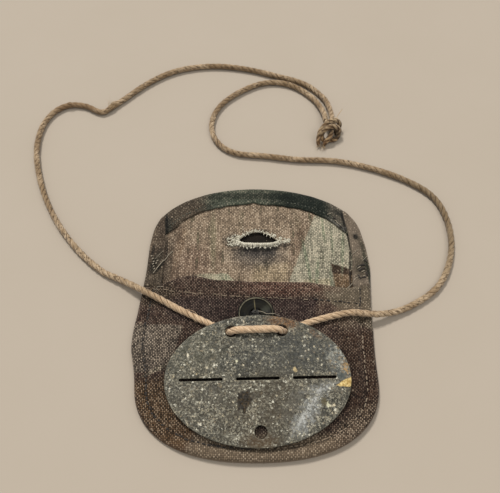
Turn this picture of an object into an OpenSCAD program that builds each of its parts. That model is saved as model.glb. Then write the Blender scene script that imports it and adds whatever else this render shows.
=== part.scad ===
// Oval identification tag with its neck cord, lying on its open cloth pouch.
// The origin is on the surface that the pouch lies on, under the middle of the pouch.
// +X runs across the pouch, +Y towards the tip of its flap, +Z up.

/* [Disc] */
// Length of the oval disc, across the pouch
disc_w = 70; // [60:0.5:80]
// Height of the oval disc, along the pouch
disc_h = 50; // [42:0.5:56]
// Thickness of the disc's metal
disc_t = 1.2; // [0.8:0.1:2]
// Length of each break-off slot
slot_l = 16.2; // [10:0.2:18]
// Width of each break-off slot
slot_w = 0.9; // [0.6:0.1:1.6]
// Metal left between two slots
slot_bridge = 5.1; // [4:0.1:7]
// Diameter of the two cord holes
cord_hole_d = 4.5; // [4.2:0.1:5.2]
// Distance between the two cord holes
cord_hole_pitch = 19.6; // [14:0.2:26]
// Distance of the cord holes' line from the disc's upper edge
cord_hole_inset = 6.5; // [5:0.1:9]
// Diameter of the hole in the lower half
end_hole_d = 4.6; // [4:0.1:5.2]
// Distance of the lower hole from the disc's lower edge
end_hole_inset = 5.6; // [4:0.1:9]
// Distance of the lower hole from the disc's middle line
end_hole_shift = 0.6; // [0:0.1:1.5]
// Turn of the disc on the pouch, in degrees
disc_turn = 1.3; // [0:0.1:3]
// Distance of the disc's middle from the pouch's middle line
disc_x = 0.95; // [0:0.05:3]
// Distance of the disc's lower edge from the pouch's lower edge
disc_inset = 4.2; // [3:0.1:6]

/* [Cord] */
// Diameter of the neck cord
cord_d = 2.6; // [2:0.1:2.8]
// Length of the knot
knot_l = 12; // [10:0.5:14]
// Diameter of the knot over its wraps
knot_d = 8.4; // [8:0.1:9]

/* [Pouch] */
// Width of the pouch
pouch_w = 97.4; // [90:0.2:106]
// Length of the pouch with its flap open
pouch_l = 119; // [114:0.5:130]
// Thickness of the cloth
cloth_t = 1; // [0.8:0.1:1.4]
// Height of the pocket, from the pouch's lower edge to its mouth
pocket_h = 70.2; // [64:0.2:76]
// Height of the hollow inside the pocket
pocket_gap = 2.2; // [1.8:0.1:3]
// Further lift of the pocket's mouth
mouth_lift = 0.8; // [0:0.1:1.5]
// Depth of the curved end below the pocket
foot_h = 29.5; // [22:0.5:34]
// Depth of the curved end of the flap
arch_h = 25.5; // [20:0.5:30]
// Distance of the side and lower stitches from the edge
seam_inset = 4.6; // [3.5:0.1:6]
// Height of the turned edge outside those stitches, over the back panel
edge_rise = 2.35; // [1.8:0.05:2.8]
// Width of the flap's hem at its tip
hem_tip_w = 8.2; // [6:0.1:10]
// Width of the flap's hem at its sides
hem_side_w = 5.8; // [4:0.1:8]
// Width of the hem at the pocket's mouth
mouth_hem_w = 6.3; // [4:0.1:7.5]

/* [Button and buttonhole] */
// Diameter of the button
button_d = 14.6; // [12:0.1:17]
// Height of the button
button_h = 2.5; // [2:0.1:2.6]
// Distance of the button's middle below the pocket's mouth
button_drop = 14.4; // [14:0.1:17]
// Distance of the button's middle from the pouch's middle line
button_shift = 0.4; // [-2:0.1:2]
// Diameter of the button's thread holes
thread_hole_d = 1.3; // [1:0.1:1.6]
// Length of the slit of the buttonhole
slit_l = 17.4; // [15:0.1:20]
// Width of the open slit
slit_w = 3.6; // [2:0.1:4]
// Width of the stitched edge round the slit
stitch_w = 2.6; // [1.5:0.1:3.5]
// Height of the stitched edge over the cloth
stitch_h = 0.6; // [0.3:0.1:1]
// Distance of the slit from the tip of the flap
slit_drop = 27.5; // [22:0.5:32]
// Distance of the slit's middle from the pouch's middle line
slit_shift = 1.5; // [-2:0.1:2]

/* [Hidden] */

// Small gap that is left between two pieces that lie on each other
gap = 0.12;

// Levels of the cloth, from the surface up
back_top = cloth_t;
front_low = back_top + pocket_gap;
front_top = front_low + cloth_t;

// Places along the pouch
foot_y = -pouch_l / 2;
tip_y = pouch_l / 2;
foot_base_y = foot_y + foot_h;
arch_base_y = tip_y - arch_h;
mouth_y = foot_y + pocket_h;
disc_y = foot_y + disc_inset + disc_h / 2;
hole_line_y = disc_y + disc_h / 2 - cord_hole_inset;
button_at = [button_shift, mouth_y - button_drop];
slit_at = [slit_shift, tip_y - slit_drop];

// How square the two curved ends are: 2 is a plain ellipse
foot_power = 2.35;
arch_power = 2.05;

// Sides of the pouch between its two curved ends
// [share of the way up, left half width, right half width], widths as shares of half of pouch_w
SIDES = [
    [0.00, 0.945, 0.967],
    [0.06, 0.957, 0.961],
    [0.21, 1.000, 0.959],
    [0.31, 0.996, 0.965],
    [0.48, 0.967, 0.969],
    [0.64, 0.945, 0.984],
    [0.76, 0.932, 1.000],
    [0.94, 0.926, 0.980],
    [1.00, 0.912, 0.958]
];

// Wave of the pocket's mouth
// [place across, rise over mouth_y], places as shares of half of pouch_w, rises of mouth_hem_w
MOUTH = [
    [-1.00, -0.24],
    [-0.86, -0.18],
    [-0.54, 0.48],
    [-0.30, 0.14],
    [0.00, 0.03],
    [0.40, 0.00],
    [0.78, -0.38],
    [0.90, -0.06],
    [1.00, -0.12]
];

// Section of the pocket's front, from its edge inwards
// [distance from the edge, height of the upper face, height of the lower face]
// distances as shares of seam_inset; upper heights up to the stitches are shares of edge_rise,
// and beyond them both are shares of the way from the back panel to the full height
SECTION_EDGE = [
    [0.00, 0.40],
    [0.16, 0.82],
    [0.36, 0.99],
    [0.60, 1.00],
    [0.84, 0.84],
    [1.00, 0.66]
];
SECTION_IN = [
    [1.00, 0.00, 0.00],
    [1.22, 0.22, 0.02],
    [1.60, 0.74, 0.62],
    [2.30, 0.94, 0.92],
    [3.00, 1.00, 1.00]
];

// Rows of the front along its curved foot, as angles, and columns across it, as shares
FOOT_ANGLES = [88, 82, 76, 70, 65, 60, 55, 50, 45, 40, 33, 26, 18, 9, 0];
ROWS_UP = [0.12, 0.25, 0.36, 0.46, 0.54, 0.61, 0.68];
ROWS_HEM = [1.6, 1.25, 1.04, 0.96, 0.5, 0.12, 0];
COLUMNS = [0, 0.18, 0.36, 0.52, 0.66, 0.76, 0.82, 0.86, 0.885, 0.902, 0.922, 0.942, 0.965, 0.985, 1];

// Dip that the cord and the button press into the front
dip_at = [button_at.x, (button_at.y + hole_line_y) / 2];
dip_size = [(cord_hole_pitch + disc_w) / 3.5, abs(button_at.y - hole_line_y) / 2 + 0.75 * button_d];
dip_depth = 0.35;

// The button's seat on the cloth, in the middle of the dip
button_z = front_top - dip_depth + gap;

// The disc's lower part lies on the front, and its upper part on the cord and the button's rim
disc_low_y = foot_y + 2 * seam_inset;
disc_low_z = front_top + gap;
disc_high_y = min(hole_line_y, button_at.y - button_d / 2);
disc_high_z = button_z + max(cord_d, button_h) + 2 * gap;
disc_tilt = atan2(disc_high_z - disc_low_z, disc_high_y - disc_low_y);
disc_z = disc_low_z + (disc_y - disc_low_y) * tan(disc_tilt) + disc_t / 2;

// Route of the cord's left run: from under the disc through both holes, round the left, to the knot
LEFT_ROUTE = [
    [15.3, -9.6, 5.3], [12.7, -10.7, 5.3], [11.5, -11.2, 5.7], [10.6, -11.5, 6.8],
    [10.0, -11.6, 8.0], [8.8, -11.7, 9.2], [7.2, -11.7, 9.6], [0.5, -11.9, 9.7],
    [-6.2, -12.1, 9.6], [-7.8, -12.1, 9.2], [-8.9, -12.1, 8.0], [-9.6, -11.9, 6.7],
    [-10.4, -11.5, 5.7], [-11.6, -11.0, 5.3], [-17.6, -8.2, 5.5], [-31.0, -1.4, 5.6],
    [-38.0, 2.6, 5.6], [-45.0, 6.6, 5.0], [-50.0, 9.7, 3.7], [-56.0, 13.2, 2.2],
    [-65.0, 18.0, 1.4], [-77.0, 29.0, 1.4], [-89.0, 45.0, 1.4], [-98.0, 63.5, 1.4],
    [-103.5, 84.5, 1.4], [-102.0, 101.0, 1.4], [-93.5, 111.0, 1.4], [-82.0, 110.0, 1.4],
    [-76.5, 106.0, 1.4], [-71.5, 107.8, 1.4], [-66.5, 114.0, 1.4], [-56.0, 124.0, 1.4],
    [-41.5, 134.0, 1.4], [-23.0, 138.0, 1.4], [-4.5, 136.0, 1.4], [12.5, 130.5, 1.4],
    [26.5, 125.0, 1.4], [35.0, 115.5, 1.4], [37.8, 105.0, 2.4], [37.8, 98.4, 3.6]
];

// Route of the cord's right run: from under the disc, round the right, to the knot
RIGHT_ROUTE = [
    [15.3, -9.6, 5.3], [20.0, -7.8, 5.5], [31.0, -4.6, 5.6],
    [38.5, -3.2, 5.6], [45.0, -3.4, 5.0], [50.0, -3.0, 3.7], [56.0, -1.5, 2.2],
    [63.5, 1.5, 1.4], [76.0, 10.0, 1.4], [83.5, 24.0, 1.4], [85.5, 39.0, 1.4],
    [81.5, 55.0, 1.4], [70.0, 64.5, 1.4], [54.0, 71.7, 1.4], [37.0, 76.0, 1.4],
    [20.5, 76.5, 1.4], [4.0, 79.0, 1.4], [-10.0, 80.5, 1.4], [-18.0, 87.0, 1.4],
    [-21.0, 97.5, 1.4], [-17.5, 109.5, 1.4], [-7.5, 119.5, 1.4], [6.5, 126.5, 1.4],
    [19.0, 124.6, 1.4], [29.5, 115.5, 1.4], [34.2, 105.0, 2.4], [34.8, 98.4, 3.6]
];

// Direction in which the two runs meet under the disc, and in which they enter the knot
MEET = [0.93, 0.367, 0];
INTO_KNOT = [0, -1, 0];

// Longest stretch between two rings of the tube
ring_step = 16;
tube_sides = 8;

// The knot's axis runs along Y from the face where both runs enter it
knot_at = [36.3, 98.4, knot_d / 2 + gap];

// Half section of the knot, from the face where the cord enters
// [distance from the axis, distance from that face], as shares of half of knot_d and of knot_l
KNOT = [[0, 0], [0.74, 0], [0.9, 0.07], [1, 0.18], [0.95, 0.3], [0.83, 0.37], [0.97, 0.44],
    [1, 0.56], [0.94, 0.66], [0.83, 0.72], [0.84, 0.8], [0.62, 0.93], [0.3, 1], [0, 1]];
tail_d = 0.8 * cord_d;
tail_start = 0.7 * knot_l;
tail_l = 0.42 * knot_l;

// Half section of the button, from the cloth up over the rim into its sunk middle
// [distance from the axis, height], as shares of half of button_d and of button_h
BUTTON = [[0, 0], [0.64, 0], [0.88, 0.32], [1, 0.72], [1, 0.9], [0.97, 1], [0.92, 1], [0.87, 0.86],
    [0.42, 0.52], [0.36, 0.4], [0, 0.4]];
button_floor = BUTTON[len(BUTTON) - 1][1] * button_h;

// Value of a table at x, with smooth steps between its rows
function ease(t) = t * t * (3 - 2 * t);
function look_up(table, x, column, i = 0) =
    i >= len(table) - 1 ? table[len(table) - 1][column] :
    x <= table[0][0] ? table[0][column] :
    x <= table[i + 1][0]
        ? table[i][column] + (table[i + 1][column] - table[i][column])
            * ease((x - table[i][0]) / (table[i + 1][0] - table[i][0]))
        : look_up(table, x, column, i + 1);

// Half width of the pouch on one side, side = -1 left or 1 right, between the curved ends
function side_w(y, side) =
    pouch_w / 2 * look_up(SIDES, (y - foot_base_y) / (arch_base_y - foot_base_y), side < 0 ? 1 : 2);

// Point on the curved foot and on the curved tip, a = 0 at the side, 90 at the end
function foot_point(a, side) = [
    side * side_w(foot_base_y, side) * pow(cos(a), 2 / foot_power),
    foot_base_y - foot_h * pow(sin(a), 2 / foot_power)
];
function arch_point(a, side) = [
    side * side_w(arch_base_y, side) * pow(cos(a), 2 / arch_power),
    arch_base_y + arch_h * pow(sin(a), 2 / arch_power)
];

// Heights of the rows of the front above its foot, as fractions up to the hem, then along the hem
function row_y(i, x) =
    i < len(ROWS_UP)
        ? foot_base_y + ROWS_UP[i] * (mouth_y - foot_base_y)
        : mouth_line(x) - ROWS_HEM[i - len(ROWS_UP)] * mouth_hem_w;
function mouth_line(x) = mouth_y + mouth_hem_w * look_up(MOUTH, x / (pouch_w / 2), 1);

// Outline of one side, from the foot up to y_end
side_steps = 16;
function side_line(side, y_start, y_end) =
    [for (i = [0 : side_steps]) let (y = y_start + (y_end - y_start) * i / side_steps)
        [side * side_w(y, side), y]];
arch_angles = [for (a = [6 : 6 : 84]) a];
function turned_back(points) = [for (i = [len(points) - 1 : -1 : 0]) points[i]];
function arch_line() = concat(
    [for (a = arch_angles) arch_point(a, 1)], [[0, tip_y]],
    [for (a = turned_back(arch_angles)) arch_point(a, -1)]);
function pouch_outline() = concat(
    [[0, foot_y]], [for (a = FOOT_ANGLES) foot_point(a, 1)],
    [for (p = side_line(1, foot_base_y, arch_base_y)) if (p.y > foot_base_y) p],
    arch_line(),
    [for (p = turned_back(side_line(-1, foot_base_y, arch_base_y))) if (p.y > foot_base_y) p],
    [for (a = turned_back(FOOT_ANGLES)) foot_point(a, -1)]);

// The hem's outer line, from the right of the mouth over the tip to the left of the mouth
function hem_start(side) =
    let (x = side * side_w(mouth_y, side))
    gap + max([for (s = [0 : 0.25 : 1]) mouth_line(x - side * s * hem_side_w)]);
hem_line = concat(side_line(1, hem_start(1), arch_base_y), arch_line(),
    turned_back(side_line(-1, hem_start(-1), arch_base_y)));
function unit(v) = v / norm(v);
function outward(line, i) =
    let (a = line[max(i - 1, 0)], b = line[min(i + 1, len(line) - 1)], d = unit(b - a)) [d.y, -d.x];
function hem_inner(line) =
    [for (i = [0 : len(line) - 1]) let (n = outward(line, i))
        line[i] - n * (hem_side_w + (hem_tip_w - hem_side_w) * pow(max(0, n.y), 2))];

// Distance of a point of the front from the pouch's edge
function edge_distance(x, y) =
    let (side = x < 0 ? -1 : 1)
    y >= foot_base_y ? side_w(y, side) - abs(x) :
    let (
        w = side_w(foot_base_y, side),
        a = abs(x) / w,
        b = (foot_base_y - y) / foot_h,
        r = pow(pow(a, foot_power) + pow(b, foot_power), 1 / foot_power),
        slope = norm([pow(a / r, foot_power - 1) / w, pow(b / r, foot_power - 1) / foot_h])
    ) max(0, (1 - r) / slope);

// Lift towards the mouth, the hem's second layer, and the dip under the cord and the button
lift_run = 1.6 * mouth_hem_w;
hem_t = 0.3 * cloth_t;
function mouth_rise(x, y) =
    mouth_lift * ease(max(0, 1 - (mouth_line(x) - y) / lift_run)) * (1 - pow(x / (pouch_w / 2), 4));
function hem_rise(x, y) = mouth_line(x) - y < mouth_hem_w ? hem_t : 0;
function dip(x, y) =
    let (r = norm([(x - dip_at.x) / dip_size.x, (y - dip_at.y) / dip_size.y]))
    r < 1 ? dip_depth * min(1, 4 * ease(1 - r)) : 0;

// Heights of the front's two faces
function front_upper(x, y) =
    let (
        s = edge_distance(x, y) / seam_inset,
        groove = edge_rise * look_up(SECTION_EDGE, 1, 1),
        level = groove + look_up(SECTION_IN, s, 1) * (front_top - back_top - groove + mouth_rise(x, y) - dip(x, y))
    ) back_top + hem_rise(x, y) + (s <= 1 ? edge_rise * look_up(SECTION_EDGE, s, 1) : level);
function front_lower(x, y) =
    let (s = edge_distance(x, y) / seam_inset)
    s <= 1 ? back_top
    : back_top + look_up(SECTION_IN, s, 2) * (pocket_gap + mouth_rise(x, y) - dip(x, y));

// Columns across the front, from the left edge to the right edge
across = concat([for (i = [len(COLUMNS) - 1 : -1 : 1]) -COLUMNS[i]], COLUMNS);
function foot_row(a) = [for (c = across) let (e = foot_point(a, c < 0 ? -1 : 1)) [abs(c) * e.x, e.y]];
function up_row(i) = [for (c = across)
    let (
        side = c < 0 ? -1 : 1,
        x0 = c * side_w(mouth_y, side),
        y = row_y(i, x0)
    ) [c * side_w(y, side), y]];
front_rows = concat([for (a = FOOT_ANGLES) foot_row(a)],
    [for (i = [0 : len(ROWS_UP) + len(ROWS_HEM) - 1]) up_row(i)]);

// Closed sheet between an upper and a lower grid of points, given as rows
module closed_sheet(upper, lower) {
    rows = len(upper);
    columns = len(upper[0]);
    n = rows * columns;
    function at(r, c) = r * columns + c;
    points = concat([for (row = upper) each row], [for (row = lower) each row]);
    faces = concat(
        [for (r = [0 : rows - 2], c = [0 : columns - 2]) each [
            [at(r, c), at(r + 1, c), at(r + 1, c + 1)], [at(r, c), at(r + 1, c + 1), at(r, c + 1)],
            [n + at(r, c), n + at(r + 1, c + 1), n + at(r + 1, c)],
            [n + at(r, c), n + at(r, c + 1), n + at(r + 1, c + 1)]]],
        [for (r = [0 : rows - 2], end = [0, 1]) let (
            a = at(r, end * (columns - 1)), b = at(r + 1, end * (columns - 1)))
            each end == 0 ? [[a, n + a, n + b], [a, n + b, b]] : [[a, n + b, n + a], [a, b, n + b]]],
        [for (c = [0 : columns - 2], end = [0, 1]) let (
            a = at(end * (rows - 1), c), b = at(end * (rows - 1), c + 1))
            each end == 0 ? [[a, b, n + b], [a, n + b, n + a]] : [[a, n + b, b], [a, n + a, n + b]]]);
    polyhedron(points, faces, convexity = 10);
}

// Smooth line through the route's points, and the rings of the tube along it
function smooth(a, b, c, d, t) = 0.5 * (2 * b + (c - a) * t
    + (2 * a - 5 * b + 4 * c - d) * t * t + (3 * b - a - 3 * c + d) * t * t * t);
function centres(route) = concat(
    [for (i = [0 : len(route) - 2])
        let (steps = ceil(norm(route[i + 1] - route[i]) / ring_step))
        for (k = [0 : steps - 1])
            smooth(route[max(i - 1, 0)], route[i], route[i + 1], route[min(i + 2, len(route) - 1)], k / steps)],
    [route[len(route) - 1]]);
function heading(line, i, first, last) =
    i == 0 ? unit(first) : i == len(line) - 1 ? last : unit(line[i + 1] - line[i - 1]);
module tube(route, first, last) {
    line = centres(route);
    rings = len(line);
    points = [for (i = [0 : rings - 1]) let (
            t = heading(line, i, first, last), s = unit(cross(t, [0, 0, 1])), u = cross(s, t))
        for (k = [0 : tube_sides - 1]) let (a = 360 * (k + 0.5) / tube_sides)
            line[i] + cord_d / 2 * (cos(a) * s + sin(a) * u)];
    faces = concat(
        [for (i = [0 : rings - 2], k = [0 : tube_sides - 1]) let (
            a = i * tube_sides + k, b = i * tube_sides + (k + 1) % tube_sides,
            c = a + tube_sides, d = b + tube_sides) each [[a, b, d], [a, d, c]]],
        [[for (k = [tube_sides - 1 : -1 : 0]) k]],
        [[for (k = [0 : tube_sides - 1]) (rings - 1) * tube_sides + k]]);
    polyhedron(points, faces, convexity = 10);
}

module disc() {
    color("dimgray")
        translate([disc_x, disc_y, disc_z]) rotate([disc_tilt, 0, 0]) rotate([0, 0, disc_turn])
            difference() {
                translate([0, 0, -disc_t / 2]) linear_extrude(disc_t)
                    polygon([for (a = [0 : 3 : 357]) [disc_w / 2 * cos(a), disc_h / 2 * sin(a)]]);
                for (i = [-1 : 1]) translate([i * (slot_l + slot_bridge), 0, 0]) slot();
                for (side = [-1, 1])
                    translate([side * cord_hole_pitch / 2, disc_h / 2 - cord_hole_inset, -disc_t])
                        cylinder(h = 2 * disc_t, d = cord_hole_d, $fn = 48);
                translate([end_hole_shift, end_hole_inset - disc_h / 2, -disc_t])
                    cylinder(h = 2 * disc_t, d = end_hole_d, $fn = 48);
            }
}

module slot() {
    run = slot_l - slot_w;
    translate([-run / 2, -slot_w / 2, -disc_t]) cube([run, slot_w, 2 * disc_t]);
    for (side = [-1, 1]) translate([side * run / 2, 0, -disc_t])
        cylinder(h = 2 * disc_t, d = slot_w, $fn = 24);
}

module neck_cord_left() {
    color("tan") tube(LEFT_ROUTE, -MEET, INTO_KNOT);
}

module neck_cord_right() {
    color("tan") tube(RIGHT_ROUTE, MEET, INTO_KNOT);
}

// Shape turned round an axis, from a table of shares of its radius and its height
module turned(table, radius, height, sides) {
    rotate_extrude($fn = sides) polygon([for (row = table) [row.x * radius, row.y * height]]);
}

// Two wraps of the doubled cord, and the short tails
module cord_knot() {
    color("burlywood") translate(knot_at) rotate([90, 0, 0]) {
        turned(KNOT, knot_d / 2, knot_l, 40);
        for (side = [-1, 1]) translate([side * 0.55 * cord_d, -0.1 * knot_d, tail_start])
            cylinder(h = tail_l, d = tail_d, $fn = 24);
    }
}

module slit_shape(length, width) {
    r = (length * length / 4 + width * width / 4) / width;
    intersection() {
        translate([0, width / 2 - r]) circle(r = r, $fn = 96);
        translate([0, r - width / 2]) circle(r = r, $fn = 96);
    }
}

module pouch_back() {
    color("saddlebrown") difference() {
        union() {
            linear_extrude(cloth_t) polygon(pouch_outline());
            linear_extrude(2 * cloth_t) polygon(concat(hem_line, turned_back(hem_inner(hem_line))));
        }
        translate([slit_at.x, slit_at.y, -cloth_t]) linear_extrude(3 * cloth_t) slit_shape(slit_l, slit_w);
    }
}

module pocket_front() {
    color("sienna") closed_sheet(
        [for (row = front_rows) [for (p = row) [p.x, p.y, front_upper(p.x, p.y)]]],
        [for (row = front_rows) [for (p = row) [p.x, p.y, front_lower(p.x, p.y)]]]);
}

module buttonhole_stitching() {
    color("silver") translate([slit_at.x, slit_at.y, back_top]) linear_extrude(stitch_h) difference() {
        slit_shape(slit_l + 4 * stitch_w, slit_w + 2 * stitch_w);
        slit_shape(slit_l, slit_w);
    }
}

// Dished metal button with four thread holes in its sunk middle
module button() {
    color("darkslategray") translate([button_at.x, button_at.y, button_z]) difference() {
        turned(BUTTON, button_d / 2, button_h, 72);
        thread_places() translate([0, 0, -button_h]) cylinder(h = 2 * button_h, d = thread_hole_d, $fn = 24);
    }
}

module thread_places() {
    for (x = [-1, 1], y = [-1, 1]) translate([x * thread_hole_d, y * thread_hole_d, 0]) children();
}

// Crossed thread over the four holes, with its legs down to the cloth
module button_thread() {
    thread_d = thread_hole_d - 3 * gap;
    bar_z = button_floor + gap;
    bar_l = 2 * sqrt(2) * thread_hole_d;
    color("dimgray") translate([button_at.x, button_at.y, button_z]) {
        thread_places() cylinder(h = bar_z + thread_d / 2, d = thread_d, $fn = 24);
        for (turn = [45, 135]) rotate([0, 0, turn])
            translate([-bar_l / 2, -thread_d / 2, bar_z]) cube([bar_l, thread_d, thread_d]);
    }
}

disc();
neck_cord_left();
neck_cord_right();
cord_knot();
pouch_back();
pocket_front();
buttonhole_stitching();
button();
button_thread();
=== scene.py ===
"""Oval identification tag with its neck cord, lying on its open cloth pouch.

Lengths are in metres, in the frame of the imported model: +X across the pouch, +Y towards the tip
of its flap, +Z up, with the origin on the surface under the middle of the pouch.
"""
import math

import bmesh
import bpy
import numpy as np
from mathutils import Matrix, Vector, noise
from mathutils.geometry import delaunay_2d_cdt


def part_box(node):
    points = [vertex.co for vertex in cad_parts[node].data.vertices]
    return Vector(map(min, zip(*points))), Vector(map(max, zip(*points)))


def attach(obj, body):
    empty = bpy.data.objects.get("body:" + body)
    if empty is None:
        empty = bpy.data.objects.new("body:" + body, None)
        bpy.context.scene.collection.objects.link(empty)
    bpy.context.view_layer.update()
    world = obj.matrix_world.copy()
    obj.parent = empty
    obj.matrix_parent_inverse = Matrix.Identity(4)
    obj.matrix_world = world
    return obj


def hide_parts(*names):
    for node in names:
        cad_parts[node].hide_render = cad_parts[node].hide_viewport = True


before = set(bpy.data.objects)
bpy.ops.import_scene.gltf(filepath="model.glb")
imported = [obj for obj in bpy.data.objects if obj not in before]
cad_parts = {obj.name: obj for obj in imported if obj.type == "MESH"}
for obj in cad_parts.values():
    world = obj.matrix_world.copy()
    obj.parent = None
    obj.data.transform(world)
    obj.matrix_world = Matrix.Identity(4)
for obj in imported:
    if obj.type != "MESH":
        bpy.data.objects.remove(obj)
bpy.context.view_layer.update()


# Camera
# A hand-held phone about 23 cm from the disc, pitched 60 degrees down at it. The view was fitted
# to the photo with the disc's outline as the cue.
camera = bpy.data.objects.new("camera", bpy.data.cameras.new("camera"))
camera.data.lens = 43.2
camera.data.sensor_width = 36.0
camera.data.clip_start = 0.01
camera.location = (-0.00197, -0.09958, 0.225)
camera_pitch = math.radians(60)
camera.rotation_euler = (math.pi / 2 - camera_pitch, 0, 0)
bpy.context.scene.collection.objects.link(camera)
bpy.context.scene.camera = camera


# Neck cord
# One length of natural twine, three yarns twisted together, threaded through both upper holes of
# the disc. It is made as a left and a right run that meet under the disc and end in the knot.
cord_thick = 0.0026
cord_lay = 0.0092
cord_yarns = 3
cord_step = 0.00045
LEFT_ROUTE = [
    (0.0153, -0.0096, 0.0053), (0.0127, -0.0107, 0.0053), (0.0115, -0.0112, 0.0057),
    (0.0106, -0.0115, 0.0068), (0.0100, -0.0116, 0.0080), (0.0088, -0.0117, 0.0092),
    (0.0072, -0.0117, 0.0096), (0.0005, -0.0119, 0.0097), (-0.0062, -0.0121, 0.0096),
    (-0.0078, -0.0121, 0.0092), (-0.0089, -0.0121, 0.0080), (-0.0096, -0.0119, 0.0067),
    (-0.0104, -0.0115, 0.0057), (-0.0116, -0.0110, 0.0053), (-0.0176, -0.0082, 0.0055),
    (-0.0310, -0.0014, 0.0056), (-0.0380, 0.0026, 0.0056), (-0.0450, 0.0066, 0.0050),
    (-0.0500, 0.0097, 0.0037), (-0.0560, 0.0132, 0.0022), (-0.0650, 0.0180, 0.0014),
    (-0.0770, 0.0290, 0.0014), (-0.0890, 0.0450, 0.0014), (-0.0980, 0.0635, 0.0014),
    (-0.1035, 0.0845, 0.0014), (-0.1020, 0.1010, 0.0014), (-0.0935, 0.1110, 0.0014),
    (-0.0820, 0.1100, 0.0014), (-0.0765, 0.1060, 0.0014), (-0.0715, 0.1078, 0.0014),
    (-0.0665, 0.1140, 0.0014), (-0.0560, 0.1240, 0.0014), (-0.0415, 0.1340, 0.0014),
    (-0.0230, 0.1380, 0.0014), (-0.0045, 0.1360, 0.0014), (0.0125, 0.1305, 0.0014),
    (0.0265, 0.1250, 0.0014), (0.0350, 0.1155, 0.0014), (0.0378, 0.1050, 0.0024),
    (0.0378, 0.0984, 0.0036),
]
RIGHT_ROUTE = [
    (0.0153, -0.0096, 0.0053), (0.0200, -0.0078, 0.0055), (0.0310, -0.0046, 0.0056),
    (0.0385, -0.0032, 0.0056), (0.0450, -0.0034, 0.0050), (0.0500, -0.0030, 0.0037),
    (0.0560, -0.0015, 0.0022), (0.0635, 0.0015, 0.0014), (0.0760, 0.0100, 0.0014),
    (0.0835, 0.0240, 0.0014), (0.0855, 0.0390, 0.0014), (0.0815, 0.0550, 0.0014),
    (0.0700, 0.0645, 0.0014), (0.0540, 0.0717, 0.0014), (0.0370, 0.0760, 0.0014),
    (0.0205, 0.0765, 0.0014), (0.0040, 0.0790, 0.0014), (-0.0100, 0.0805, 0.0014),
    (-0.0180, 0.0870, 0.0014), (-0.0210, 0.0975, 0.0014), (-0.0175, 0.1095, 0.0014),
    (-0.0075, 0.1195, 0.0014), (0.0065, 0.1265, 0.0014), (0.0190, 0.1246, 0.0014),
    (0.0295, 0.1155, 0.0014), (0.0342, 0.1050, 0.0024), (0.0348, 0.0984, 0.0036),
]


def spaced(points, step, closed=False):
    """The same line with its points at even steps."""
    points = np.asarray(points, float)
    if closed:
        points = np.vstack([points, points[:1]])
    gone = np.r_[0, np.cumsum(np.linalg.norm(np.diff(points, axis=0), axis=1))]
    count = max(3, round(gone[-1] / step) + (0 if closed else 1))
    at = np.linspace(0, gone[-1], count, endpoint=not closed)
    return np.column_stack([np.interp(at, gone, column) for column in points.T])


def flowing(route, step):
    """A smooth line through the points of a route, with its own points at even steps."""
    p = np.asarray(route, float)
    p = np.vstack([2 * p[0] - p[1], p, 2 * p[-1] - p[-2]])
    line = []
    for a, b, c, d in zip(p, p[1:], p[2:], p[3:]):
        knots = np.r_[0, np.cumsum([math.sqrt(math.dist(*pair)) for pair in ((a, b), (b, c), (c, d))])]
        t = np.linspace(knots[1], knots[2], 24, endpoint=False)[:, None]

        def between(low, high, i, j):
            return ((knots[j] - t) * low + (t - knots[i]) * high) / (knots[j] - knots[i])

        first, second, third = between(a, b, 0, 1), between(b, c, 1, 2), between(c, d, 2, 3)
        line.append(between(between(first, second, 0, 2), between(second, third, 1, 3), 1, 2))
    return spaced(np.vstack(line + [p[-2:-1]]), step)


def length_of(line):
    return float(np.linalg.norm(np.diff(line, axis=0), axis=1).sum())


def tube(line, radius, sides=6, yarns=0, lay=1.0, groove=0.0):
    """Points, faces and lay coordinates of a closed tube. Its yarns turn once in each lay."""
    line = np.asarray(line, float)
    ahead = np.gradient(line, axis=0)
    ahead /= np.linalg.norm(ahead, axis=1)[:, None]
    across = np.empty_like(ahead)
    any_other_way = (0.13, 0.22, 0.97)
    side = np.cross(ahead[0], any_other_way)
    for i, t in enumerate(ahead):
        side = side - t * (side @ t)
        side /= np.linalg.norm(side)
        across[i] = side
    over = np.cross(ahead, across)
    gone = np.r_[0, np.cumsum(np.linalg.norm(np.diff(line, axis=0), axis=1))][:, None]
    angle = 2 * np.pi * np.arange(sides) / sides
    size = np.broadcast_to(np.asarray(radius, float).reshape(-1, 1), (len(line), sides))
    groove = np.asarray(groove, float).reshape(-1, 1)
    if yarns:
        size = size * (1 - groove + groove * np.sqrt(np.abs(np.cos(yarns * angle / 2))))
    turn = angle + (2 * np.pi * gone / lay if yarns else 0 * gone)
    ring = line[:, None] + size[..., None] * (
        np.cos(turn)[..., None] * across[:, None] + np.sin(turn)[..., None] * over[:, None])
    coordinates = np.stack([size * np.cos(angle), size * np.sin(angle), gone + 0 * size], axis=2)
    n = np.arange(sides)
    faces = [
        (i * sides + a, i * sides + b, (i + 1) * sides + b, (i + 1) * sides + a)
        for i in range(len(line) - 1) for a, b in zip(n, np.roll(n, -1))]
    faces += [tuple(n), tuple((len(line) - 1) * sides + n)]
    return ring.reshape(-1, 3), faces, coordinates.reshape(-1, 3)


def build(name, points, faces, lay=None):
    """A mesh object with smooth faces that look outwards."""
    mesh = bpy.data.meshes.new(name)
    mesh.from_pydata(np.asarray(points).tolist(), [], [tuple(map(int, f)) for f in faces])
    solid = bmesh.new()
    solid.from_mesh(mesh)
    bmesh.ops.recalc_face_normals(solid, faces=solid.faces)
    solid.to_mesh(mesh)
    solid.free()
    mesh.shade_smooth()
    if lay is not None:
        lays = mesh.attributes.new("lay", "FLOAT_VECTOR", "POINT")
        lays.data.foreach_set("vector", np.asarray(lay).ravel())
    piece = bpy.data.objects.new(name, mesh)
    bpy.context.scene.collection.objects.link(piece)
    return piece


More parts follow.
